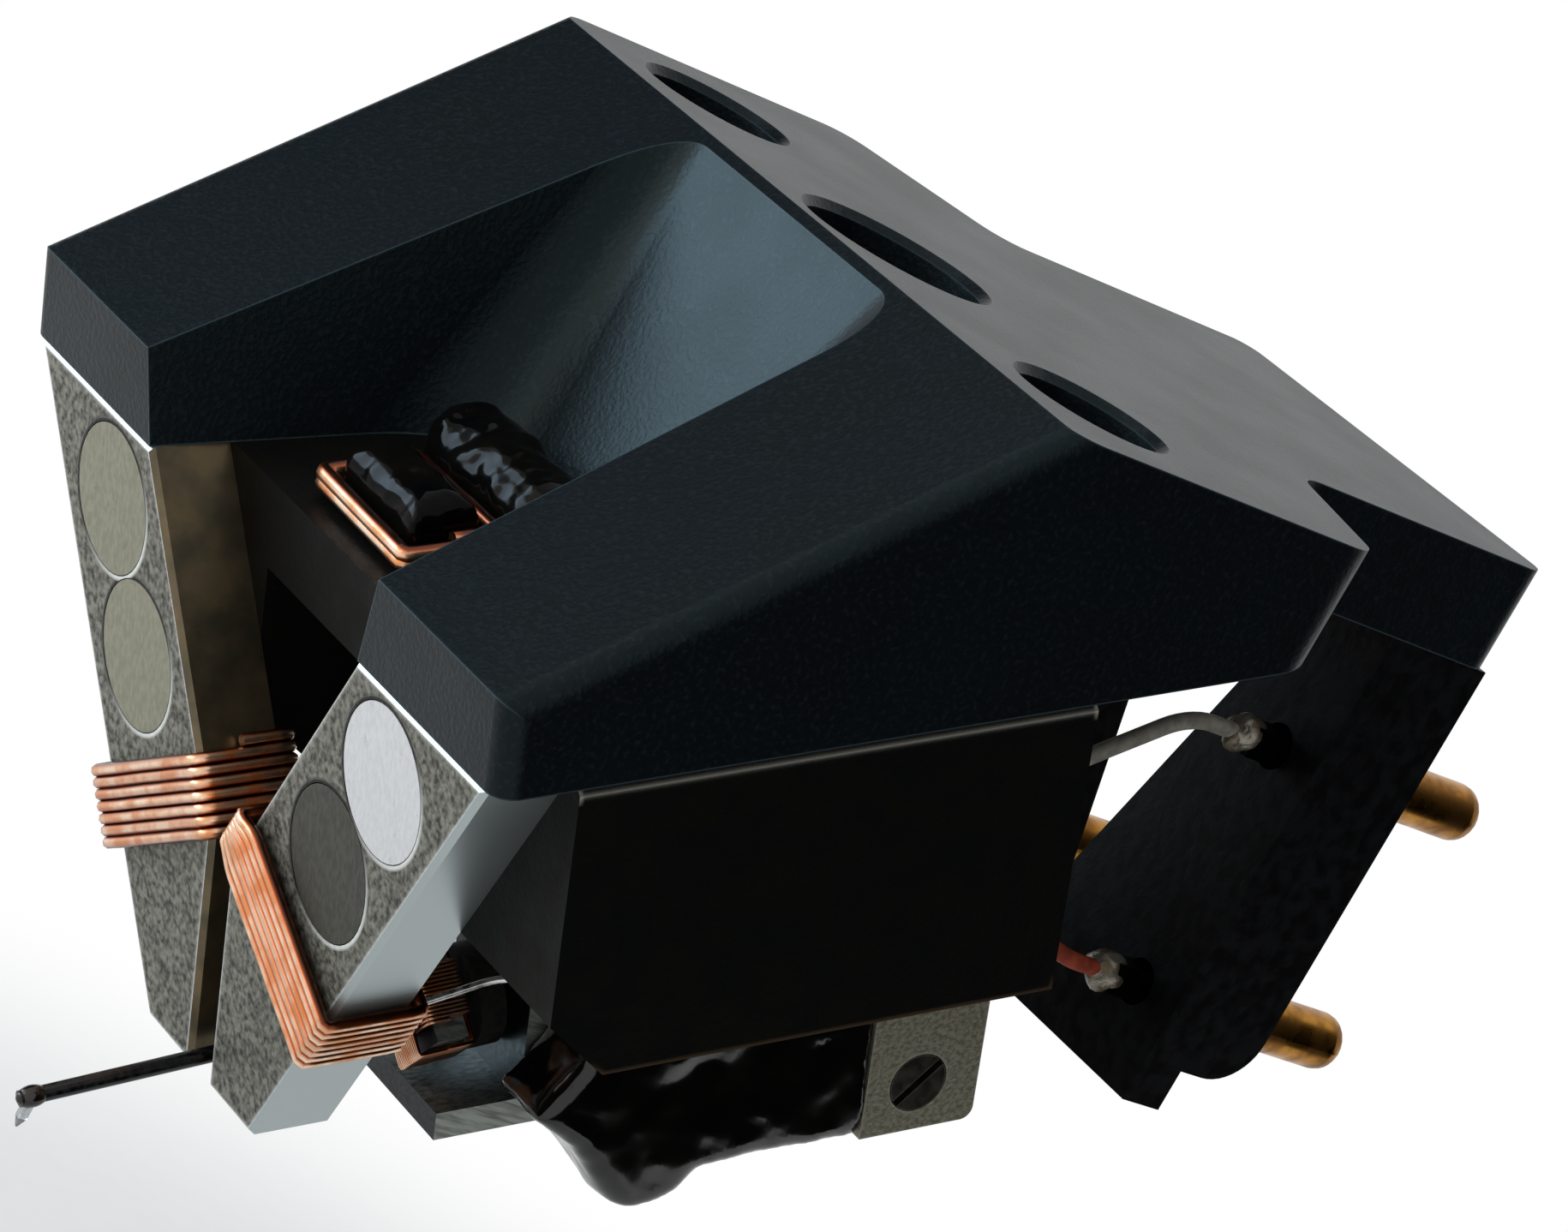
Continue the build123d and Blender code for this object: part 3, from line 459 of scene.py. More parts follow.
def magnet_alloy(name, colour, shade):
    """Ground end of a magnet rod."""
    # Surface-ground alloy: even grey with faint straight scratches and a few darker pits
    material, tree, place = start_material(name)
    turned = add(
        tree,
        "ShaderNodeMapping",
        {"Vector": place, "Scale": SCRATCH_SCALE, "Rotation": SCRATCH_TURN},
    )
    scratches = patches(tree, turned, size_mm=0.09)
    spots = patches(tree, place, size_mm=0.22, low=0.6, high=0.75)
    pits = add(tree, "ShaderNodeMath", {0: spots, 1: PIT_SHADE}, operation="MULTIPLY")
    wear_and_highlight = add(tree, "ShaderNodeMath", {0: scratches, 1: SCRATCH_SHADE}, operation="MULTIPLY")
    both = add(tree, "ShaderNodeMath", {0: pits, 1: wear_and_highlight}, operation="MAXIMUM")
    ground = add(tree, "ShaderNodeMix", {FACTOR: both, A: linear(colour), B: linear(shade)}, **RGBA)
    rough = add(tree, "ShaderNodeMapRange", {"Value": scratches, "To Min": 0.35, "To Max": 0.5})
    relief = add(tree, "ShaderNodeBump", {"Height": scratches, "Distance": 0.0015 * MM})
    return finish_material(material, ground, rough, relief, Metallic=0.6)


# Attribute that a winding stores: 0 on a wire's crown and 1 where it meets the next turn; the
# copper paints its highlight and shade by it
RECESS = "recess"


def enamelled_copper(colour):
    """Copper wire in clear enamel."""
    # Drawn wire: orange metal, with a pale painted highlight on its crown, painted shade in red on
    # its flanks and dark painted shade between turns
    material, tree, place = start_material("enamelled_copper")
    recess = add(tree, "ShaderNodeAttribute", attribute_name=RECESS).outputs["Fac"]
    flank_shade = add(tree, "ShaderNodeMapRange", {"Value": recess, "From Min": 0.25, "From Max": 0.7})
    gap_shade = add(tree, "ShaderNodeMapRange", {"Value": recess, "From Min": 0.6, "From Max": 0.95})
    thick = patches(tree, place, size_mm=0.5)
    # Painted highlight on the crown, painted shade on the flanks and between turns
    crown_highlight = add(tree, "ShaderNodeMix", {FACTOR: thick, A: colour, B: linear("#e39a64")}, **RGBA)
    red = add(tree, "ShaderNodeMix", {FACTOR: flank_shade, A: crown_highlight, B: linear("#a9501f")}, **RGBA)
    wire = add(tree, "ShaderNodeMix", {FACTOR: gap_shade, A: red, B: linear("#2e1006")}, **RGBA)
    rough = add(tree, "ShaderNodeMapRange", {"Value": thick, "To Min": 0.28, "To Max": 0.38})
    enamel = {"Coat Weight": 0.4, "Coat Roughness": 0.18}
    return finish_material(material, wire, rough, Metallic=1.0, **enamel)


def poured_resin(name, colour, shine):
    """Black resin poured round the pole piece and over the coil in the scoop."""
    # Set without a mould: jet black and wet-looking, so its soft lumps catch long glints
    material, tree, place = start_material(name)
    film = patches(tree, place, size_mm=0.8, low=0.3, high=0.7)
    brown = add(tree, "ShaderNodeMix", {FACTOR: film, A: colour, B: linear("#0d0b08")}, **RGBA)
    rough = add(tree, "ShaderNodeMapRange", {"Value": film, "To Min": 0.08, "To Max": 0.2})
    return finish_material(material, brown, rough, IOR=1.55, **{"Specular IOR Level": shine})


# How far the grinding lines are drawn out along the iron
GRINDING_SCALE = (1.0, 0.1, 1.0)


def bright_iron():
    """Plated soft iron of the pole piece and the moving coil's core."""
    # Ground then plated on its sides: cool light grey with grinding lines, and painted shade in
    # black on the face that looks forward at the coil
    material, tree, place = start_material("bright_iron")
    drawn_out = add(tree, "ShaderNodeMapping", {"Vector": place, "Scale": GRINDING_SCALE})
    lines = patches(tree, drawn_out, size_mm=0.08)
    front_shade = front_faces(tree, starts=0.6, full=0.8)
    grey, pale = linear("#8f958f"), linear("#bcc2bb")
    plated = add(tree, "ShaderNodeMix", {FACTOR: lines, A: grey, B: pale}, **RGBA)
    # Painted shade: black on the faces that look forward at the coil
    black = add(tree, "ShaderNodeMix", {FACTOR: front_shade, A: plated, B: linear("#15161a")}, **RGBA)
    rough = add(tree, "ShaderNodeMapRange", {"Value": lines, "To Min": 0.3, "To Max": 0.42})
    return finish_material(material, black, rough, Metallic=0.9)


def sanded_aluminium():
    """Sanded aluminium of the clamp block."""
    # Sanded by hand: warm grey with short scratches and paler corners
    material, tree, place = start_material("sanded_aluminium")
    scratches = patches(tree, place, size_mm=0.1)
    edge = wear_and_highlight_edges(tree, width_mm=0.08)
    grey, pale = linear("#757462"), linear("#8f8d7b")
    base = add(tree, "ShaderNodeMix", {FACTOR: scratches, A: grey, B: pale}, **RGBA)
    sanded = add(tree, "ShaderNodeMix", {FACTOR: edge, A: base, B: linear("#9d9b8d")}, **RGBA)
    rough = add(tree, "ShaderNodeMapRange", {"Value": scratches, "To Min": 0.45, "To Max": 0.6})
    relief = add(tree, "ShaderNodeBump", {"Height": scratches, "Distance": 0.006 * MM})
    return finish_material(material, sanded, rough, relief, Metallic=0.6)


def blackened_steel():
    """Oil-blackened steel of the clamp screw."""
    # Heat and oil: charcoal with a dull shine and brighter rubbed edges
    material, tree, place = start_material("blackened_steel")
    bloom = patches(tree, place, size_mm=0.25)
    edge = wear_and_highlight_edges(tree, width_mm=0.05)
    coal, ash = linear("#2a2822"), linear("#3b382f")
    base = add(tree, "ShaderNodeMix", {FACTOR: bloom, A: coal, B: ash}, **RGBA)
    rubbed_and_highlight = add(tree, "ShaderNodeMix", {FACTOR: edge, A: base, B: linear("#6f6b60")}, **RGBA)
    rough = add(tree, "ShaderNodeMapRange", {"Value": bloom, "To Min": 0.35, "To Max": 0.5})
    return finish_material(material, rubbed_and_highlight, rough, Metallic=0.8)


def drawn_metal(name, first, second, roughness):
    """Drawn wire or tube of a small inner part."""
    # Pulled through a die: smooth, with faint cloudy streaks
    return mottled(
        name,
        patch_mm=0.12,
        colours=(first, second),
        roughness=(roughness, roughness + 0.12),
        Metallic=1.0,
    )


def moulded(name, first, second, roughness, grain_mm):
    """Moulded rubber, board or sleeve."""
    # Out of a mould: dull, with a slight grain and no metal in it
    return mottled(
        name,
        patch_mm=grain_mm,
        colours=(first, second),
        roughness=(roughness, roughness + 0.1),
        height_mm=0.004,
        **{"Specular IOR Level": 0.1},
    )


def gold_plate(colour):
    """Gold plate on the brass pins."""
    # Thin plate: brown gold, darker in blotches where clips have rubbed it, and bare dull metal
    # inside the wall
    material, tree, place = start_material("gold_plate")
    rubbed_and_highlight = patches(tree, place, size_mm=0.5)
    plated = add(tree, "ShaderNodeMix", {FACTOR: rubbed_and_highlight, A: colour, B: linear("#7a4f10")}, **RGBA)
    along = add(tree, "ShaderNodeSeparateXYZ", {0: place}).outputs["Y"]
    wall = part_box("terminal_plate")[1].y
    bare_and_highlight = add(tree, "ShaderNodeMath", {0: along, 1: wall}, operation="LESS_THAN")
    pin = add(tree, "ShaderNodeMix", {FACTOR: bare_and_highlight, A: plated, B: linear("#24211d")}, **RGBA)
    rough = add(tree, "ShaderNodeMapRange", {"Value": rubbed_and_highlight, "To Min": 0.25, "To Max": 0.4})
    return finish_material(material, pin, rough, Metallic=1.0)


def boron_rod():
    """Boron rod of the cantilever."""
    # Grown crystal rod: black with a hard narrow shine
    return mottled(
        "boron_rod",
        patch_mm=0.15,
        colours=("#0b0c0e", "#191a1d"),
        roughness=(0.2, 0.32),
        Metallic=0.3,
    )


def set_glue():
    """Glue that holds the stylus in the cantilever."""
    # A drop of set epoxy: dark brown and glossy
    return mottled(
        "set_glue",
        patch_mm=0.12,
        colours=("#15110d", "#2a2119"),
        roughness=(0.12, 0.25),
        IOR=1.5,
    )


def ground_diamond():
    """Ground diamond of the stylus."""
    # Cut stone: clear, faintly grey, bright at its facets
    return mottled(
        "ground_diamond",
        patch_mm=0.1,
        colours=("#9aa0a4", "#c3c8cc"),
        roughness=(0.03, 0.1),
        IOR=2.42,
        **{"Transmission Weight": 0.8},
    )


def soft_solder():
    """Solder on the pins' front ends."""
    # Cooled tin alloy: pale grey with a frosted skin and beige flux
    return mottled(
        "soft_solder",
        patch_mm=0.35,
        colours=("#8d897d", "#5f5442"),
        roughness=(0.28, 0.5),
        height_mm=0.02,
        Metallic=0.6,
    )


def dress(material, *nodes):
    """Give CAD nodes a finish."""
    for node in nodes:
        frame["nodes"][node].material_slots[0].material = material


def new_piece(name, mesh, material, body, *nodes):
    """Put a finished mesh in the scene as a piece that rides on a body and stands for CAD nodes."""
    piece = bpy.data.objects.new(name, mesh)
    bpy.context.scene.collection.objects.link(piece)
    mesh.materials.clear()
    mesh.materials.append(material)
    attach(piece, body)
    if nodes:
        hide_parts(*nodes)


def smooth_mesh(name, shape):
    """A mesh with smooth shading from a bmesh, which is freed."""
    mesh = bpy.data.meshes.new(name)
    shape.to_mesh(mesh)
    shape.free()
    mesh.shade_smooth()
    return mesh


def settle(builder):
    """The mesh that an object's modifiers give; the object itself is removed."""
    bpy.context.view_layer.update()
    graph = bpy.context.evaluated_depsgraph_get()
    mesh = bpy.data.meshes.new_from_object(builder.evaluated_get(graph))
    builder.modifiers.clear()
    bpy.data.objects.remove(builder)
    return mesh


WIRE_SIZES = (
    "Half Width",
    "Half Depth",
    "Length",
    "Turns",
    "Wire Radius",
    "Wander",
    "Gather",
    "Pipe Radius",
)
POINTS_PER_TURN = 64
WIRE_FACETS = 8
# Length over which a turn strays to one side, in millimetres
WANDER_PATCH = 1.2
NOISE_MIDDLE = (0.5, 0.5, 0.5)
# A wire's radius as a share of the pitch, so that a dark line stays between turns
WIRE_SHARE = 0.46
# Where on the half width the turns begin to draw together
GATHER_START = 0.7


def wound_wire_tree():
    """Nodes that wind one wire along Z round a rectangular core, past a round pipe if any."""
    tree = bpy.data.node_groups.new("wound_wire", "GeometryNodeTree")
    for name in WIRE_SIZES:
        tree.interface.new_socket(name=name, in_out="INPUT", socket_type="NodeSocketFloat")
    tree.interface.new_socket(name="Material", in_out="INPUT", socket_type="NodeSocketMaterial")
    tree.interface.new_socket(name="Geometry", in_out="OUTPUT", socket_type="NodeSocketGeometry")
    given = add(tree, "NodeGroupInput").outputs
    spiral = add(
        tree,
        "GeometryNodeCurveSpiral",
        {
            "Resolution": POINTS_PER_TURN,
            "Rotations": given["Turns"],
            "Start Radius": 1.0,
            "End Radius": 1.0,
            "Height": given["Length"],
        },
    )
    position = add(tree, "GeometryNodeInputPosition")
    place = add(tree, "ShaderNodeSeparateXYZ", {0: position}).outputs
    # A circle as wide as the core's diagonal, cut off at the core's sides, follows the rectangle
    corner = add(
        tree, "ShaderNodeCombineXYZ", {"X": given["Half Width"], "Y": given["Half Depth"]}
    )
    diagonal = add(tree, "ShaderNodeVectorMath", {0: corner}, operation="LENGTH")
    sides = []
    for axis, half in (("X", "Half Width"), ("Y", "Half Depth")):
        wide = add(tree, "ShaderNodeMath", {0: place[axis], 1: diagonal}, operation="MULTIPLY")
        upper = add(tree, "ShaderNodeMath", {0: wide, 1: given[half]}, operation="MINIMUM")
        under = add(tree, "ShaderNodeMath", {0: given[half], 1: -1.0}, operation="MULTIPLY")
        sides.append(add(tree, "ShaderNodeMath", {0: upper, 1: under}, operation="MAXIMUM"))
    width, depth = sides
    # Turns draw together towards the positive side of the width
    half_length = add(tree, "ShaderNodeMath", {0: given["Length"], 1: 0.5}, operation="MULTIPLY")
    centred = add(tree, "ShaderNodeMath", {0: place["Z"], 1: half_length}, operation="SUBTRACT")
    start = add(
        tree, "ShaderNodeMath", {0: given["Half Width"], 1: GATHER_START}, operation="MULTIPLY"
    )
    near_side = add(
        tree,
        "ShaderNodeMapRange",
        {
            "Value": width,
            "From Min": start,
            "From Max": given["Half Width"],
            "To Max": given["Gather"],
        },
        interpolation_type="SMOOTHSTEP",
    )
    squeeze = add(tree, "ShaderNodeMath", {0: 1.0, 1: near_side}, operation="SUBTRACT")
    height = add(tree, "ShaderNodeMath", {0: centred, 1: squeeze}, operation="MULTIPLY")
    # Turns that would cross the pipe go round it
    pipe_square = add(tree, "ShaderNodeMath", {0: given["Pipe Radius"], 1: 2.0}, operation="POWER")
    width_square = add(tree, "ShaderNodeMath", {0: width, 1: width}, operation="MULTIPLY")
    inside = add(tree, "ShaderNodeMath", {0: pipe_square, 1: width_square}, operation="SUBTRACT")
    clipped = add(tree, "ShaderNodeMath", {0: inside, 1: 0.0}, operation="MAXIMUM")
    chord = add(tree, "ShaderNodeMath", {0: clipped}, operation="SQRT")
    away = add(tree, "ShaderNodeMath", {0: height}, operation="ABSOLUTE")
    clear = add(tree, "ShaderNodeMath", {0: away, 1: chord}, operation="MAXIMUM")
    side_sign = add(tree, "ShaderNodeMath", {0: height}, operation="SIGN")
    passed = add(tree, "ShaderNodeMath", {0: clear, 1: side_sign}, operation="MULTIPLY")
    wound = add(tree, "ShaderNodeCombineXYZ", {"X": width, "Y": depth, "Z": passed})
    # Each turn strays a little from its place
    cloud = add(
        tree, "ShaderNodeTexNoise", {"Vector": wound, "Scale": 1 / (WANDER_PATCH * MM)}
    ).outputs["Color"]
    stray = add(tree, "ShaderNodeVectorMath", {0: cloud, 1: NOISE_MIDDLE}, operation="SUBTRACT")
    moved = add(
        tree, "ShaderNodeVectorMath", {0: stray, "Scale": given["Wander"]}, operation="SCALE"
    )
    final = add(tree, "ShaderNodeVectorMath", {0: wound, 1: moved}, operation="ADD")
    laid = add(tree, "GeometryNodeSetPosition", {"Geometry": spiral, "Position": final})
    profile = add(
        tree,
        "GeometryNodeCurvePrimitiveCircle",
        {"Resolution": WIRE_FACETS, "Radius": given["Wire Radius"]},
    )
    wire = add(
        tree,
        "GeometryNodeCurveToMesh",
        {"Curve": laid, "Profile Curve": profile, "Fill Caps": True},
    )
    # The wire's facing, by which the copper paints a highlight on the crowns and shade between
    # turns
    normal = add(tree, "GeometryNodeInputNormal")
    normal_z = add(tree, "ShaderNodeSeparateXYZ", {0: normal}).outputs["Z"]
    recess = add(tree, "ShaderNodeMath", {0: normal_z}, operation="ABSOLUTE")
    marked = add(
        tree,
        "GeometryNodeStoreNamedAttribute",
        {"Geometry": wire, "Name": RECESS, "Value": recess},
    )
    smooth = add(tree, "GeometryNodeSetShadeSmooth", {"Geometry": marked})
    real = add(tree, "GeometryNodeRealizeInstances", {"Geometry": smooth})
    finish = add(
        tree, "GeometryNodeSetMaterial", {"Geometry": real, "Material": given["Material"]}
    )
    add(tree, "NodeGroupOutput", {"Geometry": finish})
    return tree


def wind(
    name, node, body, width_axis, length_axis, turns, material, gather=0.0, pipe_radius=0.0
):
    """Wind real wire in place of a CAD coil, whose width and length run along the two axes."""
    axes = (width_axis, length_axis.cross(width_axis), length_axis)
    reach = [span(node, axis) for axis in axes]
    size = [high - low for low, high in reach]
    pitch = size[2] / turns
    radius = pitch * WIRE_SHARE
    values = {
        "Half Width": size[0] / 2 - radius,
        "Half Depth": size[1] / 2 - radius,
        "Length": size[2] - pitch,
        "Turns": float(turns),
        "Wire Radius": radius,
        "Wander": bpy.context.scene.cartridge_sizes.wire_wander,
        "Gather": gather,
        "Pipe Radius": pipe_radius + radius if pipe_radius else 0.0,
        "Material": material,
    }
    tree = bpy.data.node_groups.get("wound_wire") or wound_wire_tree()
    former = bpy.data.objects.new(name + "_former", bpy.data.meshes.new(name + "_former"))
    bpy.context.scene.collection.objects.link(former)
    modifier = former.modifiers.new("winding", "NODES")
    modifier.node_group = tree
    for item in tree.interface.items_tree:
        if item.in_out == "INPUT":
            modifier[item.identifier] = values[item.name]
    mesh = settle(former)
    turn = Matrix(axes).transposed().to_4x4()
    centre = turn @ Vector([(low + high) / 2 for low, high in reach])
    mesh.transform(Matrix.Translation(centre) @ turn)
    new_piece(name, mesh, material, body, node)


class CARTRIDGE_OT_headblock(bpy.types.Operator):
    """Lacquer the headblock."""

    bl_idname = "cartridge.headblock"
    bl_label = "Headblock"

    def execute(self, context):
        dress(satin_lacquer(context.scene.cartridge_finishes.lacquer), "headblock")
        return {"FINISHED"}


class CARTRIDGE_OT_generator(bpy.types.Operator):
    """Finish the magnet frame, the bars of the V and the magnets in them."""

    bl_idname = "cartridge.generator"
    bl_label = "Generator"

    def execute(self, context):
        finishes = context.scene.cartridge_finishes
        dress(frame_paint(finishes.frame_paint), "magnet_frame")
        dress(nickel_plate(finishes.nickel), "front_yoke_left", "front_yoke_right")
        grey = magnet_alloy("magnet_alloy_grey", "#85846f", "#5f5d4e")
        # Lit and shaded copies of the one alloy: a painted highlight on the upper right front
        # magnet and painted shade on the lower right front magnet
        bright = magnet_alloy("magnet_alloy_painted_highlight", "#d4d4d3", "#a9a9ab")
        dark = magnet_alloy("magnet_alloy_painted_shade", "#38372d", "#25241e")
        for side in SIDES:
            for row in ROWS:
                for end in ("front", "rear"):
                    dress(grey, f"magnet_{side}_{row}_{end}")
        dress(bright, "magnet_right_upper_front")
        dress(dark, "magnet_right_lower_front")
        return {"FINISHED"}


class CARTRIDGE_OT_damping_coils(bpy.types.Operator):
    """Wind the damping coils on the bars of the V and on the core in the scoop."""

    bl_idname = "cartridge.damping_coils"
    bl_label = "Damping coils"

    def execute(self, context):
        sizes = context.scene.cartridge_sizes
        copper = enamelled_copper(context.scene.cartridge_finishes.copper)
        for side, sign in SIDES.items():
            top = middle(f"magnet_{side}_upper_front")
            down = (middle(f"magnet_{side}_lower_front") - top).normalized()
            wind(
                f"damping_wire_{side}",
                f"damping_coil_{side}",
                FIXED_BODY,
                BACK.cross(down) * sign,
                down,
                sizes.bar_coil_turns,
                copper,
                gather=sizes.gather if side == "right" else 0.0,
            )
        wind(
            "centre_wire",
            "centre_damping_coil",
            FIXED_BODY,
            RIGHT,
            UP,
            sizes.centre_coil_turns,
            copper,
        )
        return {"FINISHED"}


# Poured pieces: the voxel that follows the solid in millimetres, the lumps as pairs of a size in
# millimetres and a share of the swell, and the shine of the resin, duller with dust in the scoop
POURED = {
    "pole_holder": ("resin_holder", 0.12, ((1.7, 1.0), (0.8, 0.25)), 0.4),
    "centre_pole": ("resin_core", 0.07, ((0.9, 0.6),), 0.045),
    "coil_potting": ("resin_potting", 0.07, ((0.9, 1.0),), 0.045),
}
# Distance within which a solid's loose corners are joined, in millimetres
JOIN_DISTANCE = 0.001
RESIN_SMOOTHING = 8


def pour(name, node, voxel, lumps, swell, material):
    """A lumpy poured mass in place of a CAD node."""
    solid = frame["nodes"][node]
    shape = bmesh.new()
    shape.from_mesh(solid.data)
    bmesh.ops.remove_doubles(shape, verts=shape.verts, dist=JOIN_DISTANCE * MM)
    cast = bpy.data.objects.new(name + "_cast", smooth_mesh(name, shape))
    bpy.context.scene.collection.objects.link(cast)
    remesh = cast.modifiers.new("even", "REMESH")
    remesh.mode = "VOXEL"
    remesh.voxel_size = voxel * MM
    remesh.use_smooth_shade = True
    # Back onto the solid, because the voxels leave ripples on its slanted faces
    flatten = cast.modifiers.new("flatten", "SHRINKWRAP")
    flatten.target = solid
    soften = cast.modifiers.new("soften", "SMOOTH")
    soften.iterations = RESIN_SMOOTHING
    for size, share in lumps:
        lump = bpy.data.textures.new(name + "_lump", "CLOUDS")
        lump.noise_scale = size * MM
        raised = cast.modifiers.new("lumps", "DISPLACE")
        raised.texture = lump
        raised.texture_coords = "LOCAL"
        raised.strength = swell * share
    new_piece(name, settle(cast), material, FIXED_BODY, node)


class CARTRIDGE_OT_pole_holder(bpy.types.Operator):
    """Pour the resin round the pole piece and over the coil in the scoop, and finish the clamp."""

    bl_idname = "cartridge.pole_holder"
    bl_label = "Pole holder"

    def execute(self, context):
        colour = context.scene.cartridge_finishes.resin
        swell = context.scene.cartridge_sizes.resin_swell
        for node, (name, voxel, lumps, shine) in POURED.items():
            resin = poured_resin(name + "_epoxy", colour, shine)
            pour(name, node, voxel, lumps, swell, resin)
        dress(bright_iron(), "pole_piece", "armature")
        dress(sanded_aluminium(), "clamp_block")
        dress(blackened_steel(), "clamp_screw")
        brass = drawn_metal("drawn_brass", "#a8854a", "#c7a468", roughness=0.3)
        steel = drawn_metal("spring_steel", "#8f9396", "#b6babd", roughness=0.2)
        rubber = moulded("moulded_rubber", "#141312", "#1f1d1b", roughness=0.6, grain_mm=0.15)
        dress(brass, "wire_stub")
        dress(steel, "suspension_wire")
        dress(rubber, "damper")
        return {"FINISHED"}


# The drop of glue: its radius and how far behind the cantilever's end it sits, in millimetres, and
# the share by which it is longer than wide
GLUE_RADIUS = 0.2
GLUE_SETBACK = 0.24
GLUE_STRETCH = 0.5
GLUE_DETAIL = 3


class CARTRIDGE_OT_stylus(bpy.types.Operator):
    """Wind the moving coil, finish the cantilever and stylus, and set the stylus in its glue."""

    bl_idname = "cartridge.stylus"
    bl_label = "Stylus"

    def execute(self, context):
        finishes = context.scene.cartridge_finishes
        copper = bpy.data.materials.get("enamelled_copper") or enamelled_copper(finishes.copper)
        low, high = span("joint_pipe", RIGHT)
        for side, sign in SIDES.items():
            along = (RIGHT * sign + STYLUS_UP).normalized()
            wind(
                f"moving_wire_{side}",
                f"winding_{side}",
                ARM_BODY,
                STYLUS_BACK.cross(along),
                along,
                context.scene.cartridge_sizes.winding_turns,
                copper,
                pipe_radius=(high - low) / 2,
            )
        aluminium = drawn_metal("drawn_aluminium", "#a7a9a8", "#c6c8c6", roughness=0.28)
        dress(aluminium, "joint_pipe")
        dress(boron_rod(), "cantilever")
        dress(ground_diamond(), "stylus_tip")
        front = span("cantilever", STYLUS_BACK)[0]
        end = middle("cantilever")
        end += STYLUS_BACK * (front + GLUE_SETBACK * MM - end.dot(STYLUS_BACK))
        drop = bmesh.new()
        bmesh.ops.create_icosphere(drop, subdivisions=GLUE_DETAIL, radius=GLUE_RADIUS * MM)
        for vertex in drop.verts:
            stretch = STYLUS_BACK * vertex.co.dot(STYLUS_BACK) * GLUE_STRETCH
            vertex.co = end + vertex.co + stretch
        new_piece("stylus_glue", smooth_mesh("stylus_glue", drop), set_glue(), ARM_BODY)
        return {"FINISHED"}


SOLDER_DETAIL = 3
# How far the solder's lumps rise, as a share of its radius
SOLDER_LUMP = 0.5


class CARTRIDGE_OT_terminals(bpy.types.Operator):
    """Finish the rear wall and its pins, with solder on their front ends."""

    bl_idname = "cartridge.terminals"
    bl_label = "Terminals"

    def execute(self, context):
        board = moulded("moulded_board", "#060709", "#0c0e11", roughness=0.38, grain_mm=0.3)
        gold = gold_plate(context.scene.cartridge_finishes.gold)
        radius = context.scene.cartridge_sizes.solder_radius
        dress(board, "terminal_plate", "terminal_block_left", "terminal_block_right")
        beads = bmesh.new()
        for side in SIDES:
            for row in ROWS:
                pin = f"terminal_pin_{side}_{row}"
                dress(gold, pin)
                root = middle(pin)
                root.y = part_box(pin)[0].y
                bead = bmesh.ops.create_icosphere(
                    beads, subdivisions=SOLDER_DETAIL, radius=radius
                )
                for vertex in bead["verts"]:
                    swell = 1 + SOLDER_LUMP * noise.noise((vertex.co + root) / radius)
                    vertex.co = root + vertex.co * swell
        new_piece("solder_beads", smooth_mesh("solder_beads", beads), soft_solder(), FIXED_BODY)
        return {"FINISHED"}


# Sleeves of the four leads: name and two close colours
SLEEVES = {
    "output_lead_right_upper": ("sleeve_grey", "#77756c", "#8d8a80"),
    "output_lead_right_lower": ("sleeve_red", "#7d3527", "#93432f"),
    "output_lead_left_upper": ("sleeve_blue", "#2f4a66", "#3c597a"),
    "output_lead_left_lower": ("sleeve_green", "#2f5a3c", "#3d6b49"),
}


class CARTRIDGE_OT_leads(bpy.types.Operator):
    """Finish the sleeved leads and the fine coil leads."""

    bl_idname = "cartridge.leads"
    bl_label = "Leads"

    def execute(self, context):
        for lead, (name, first, second) in SLEEVES.items():
            dress(moulded(name, first, second, roughness=0.5, grain_mm=0.2), lead)
        tinned = drawn_metal("tinned_wire", "#c9ccca", "#e6e8e6", roughness=0.25)
        dress(tinned, "coil_lead_left", "coil_lead_right")
        return {"FINISHED"}


# Camera fitted to the view: its place in millimetres and the directions to its right, up and back
CAMERA_PLACE = (85.3054, -71.9591, 16.0789)
CAMERA_RIGHT = (0.49478, 0.72176, 0.48400)
CAMERA_UP = (-0.45427, -0.25998, 0.85208)
CAMERA_BACK = (0.74083, -0.64146, 0.19925)
SENSOR_WIDTH = 36.0
# Half of the floor's side, and the reaches from the object's middle within which the shadow is
# kept and past which the floor is clear white, in millimetres
FLOOR_HALF = 1500.0
SHADOW_REACH = 14.0
CLEAR_REACH = 32.0
# Share of clear white that the camera sees under the object, where the shadow falls
SHADOW_WHITE = 0.45
WHITE = (1.0, 1.0, 1.0, 1.0)
# Lamps: place and side of the square in millimetres, and colour
LAMPS = {
    "key": ((-190.0, -175.0, 35.0), 130.0, "#c4ddf2"),
    "fill": ((-55.0, -190.0, 45.0), 170.0, "#fff6ea"),
}
# Black cards, seen only in reflections: place in millimetres, facing, and half of the side
CARDS = {
    "card_side": ((105.0, 80.0, 60.0), (-0.8, -0.55, -0.2), 90.0),
    "card_above": ((-168.0, -10.0, 80.0), (0.55, 0.0, -0.83), 70.0),
    "card_floor": ((130.0, 110.0, -26.0), (0.0, 0.0, 1.0), 110.0),
}


def seen_directly(tree):
    """1 for a ray from the camera, off a glossy surface or through a clear one, 0 for the rest."""
    ray = add(tree, "ShaderNodeLightPath").outputs
    camera, glossy, clear = (ray[f"Is {kind} Ray"] for kind in ("Camera", "Glossy", "Transmission"))
    direct = add(tree, "ShaderNodeMath", {0: camera, 1: glossy}, operation="MAXIMUM")
    return add(tree, "ShaderNodeMath", {0: direct, 1: clear}, operation="MAXIMUM")


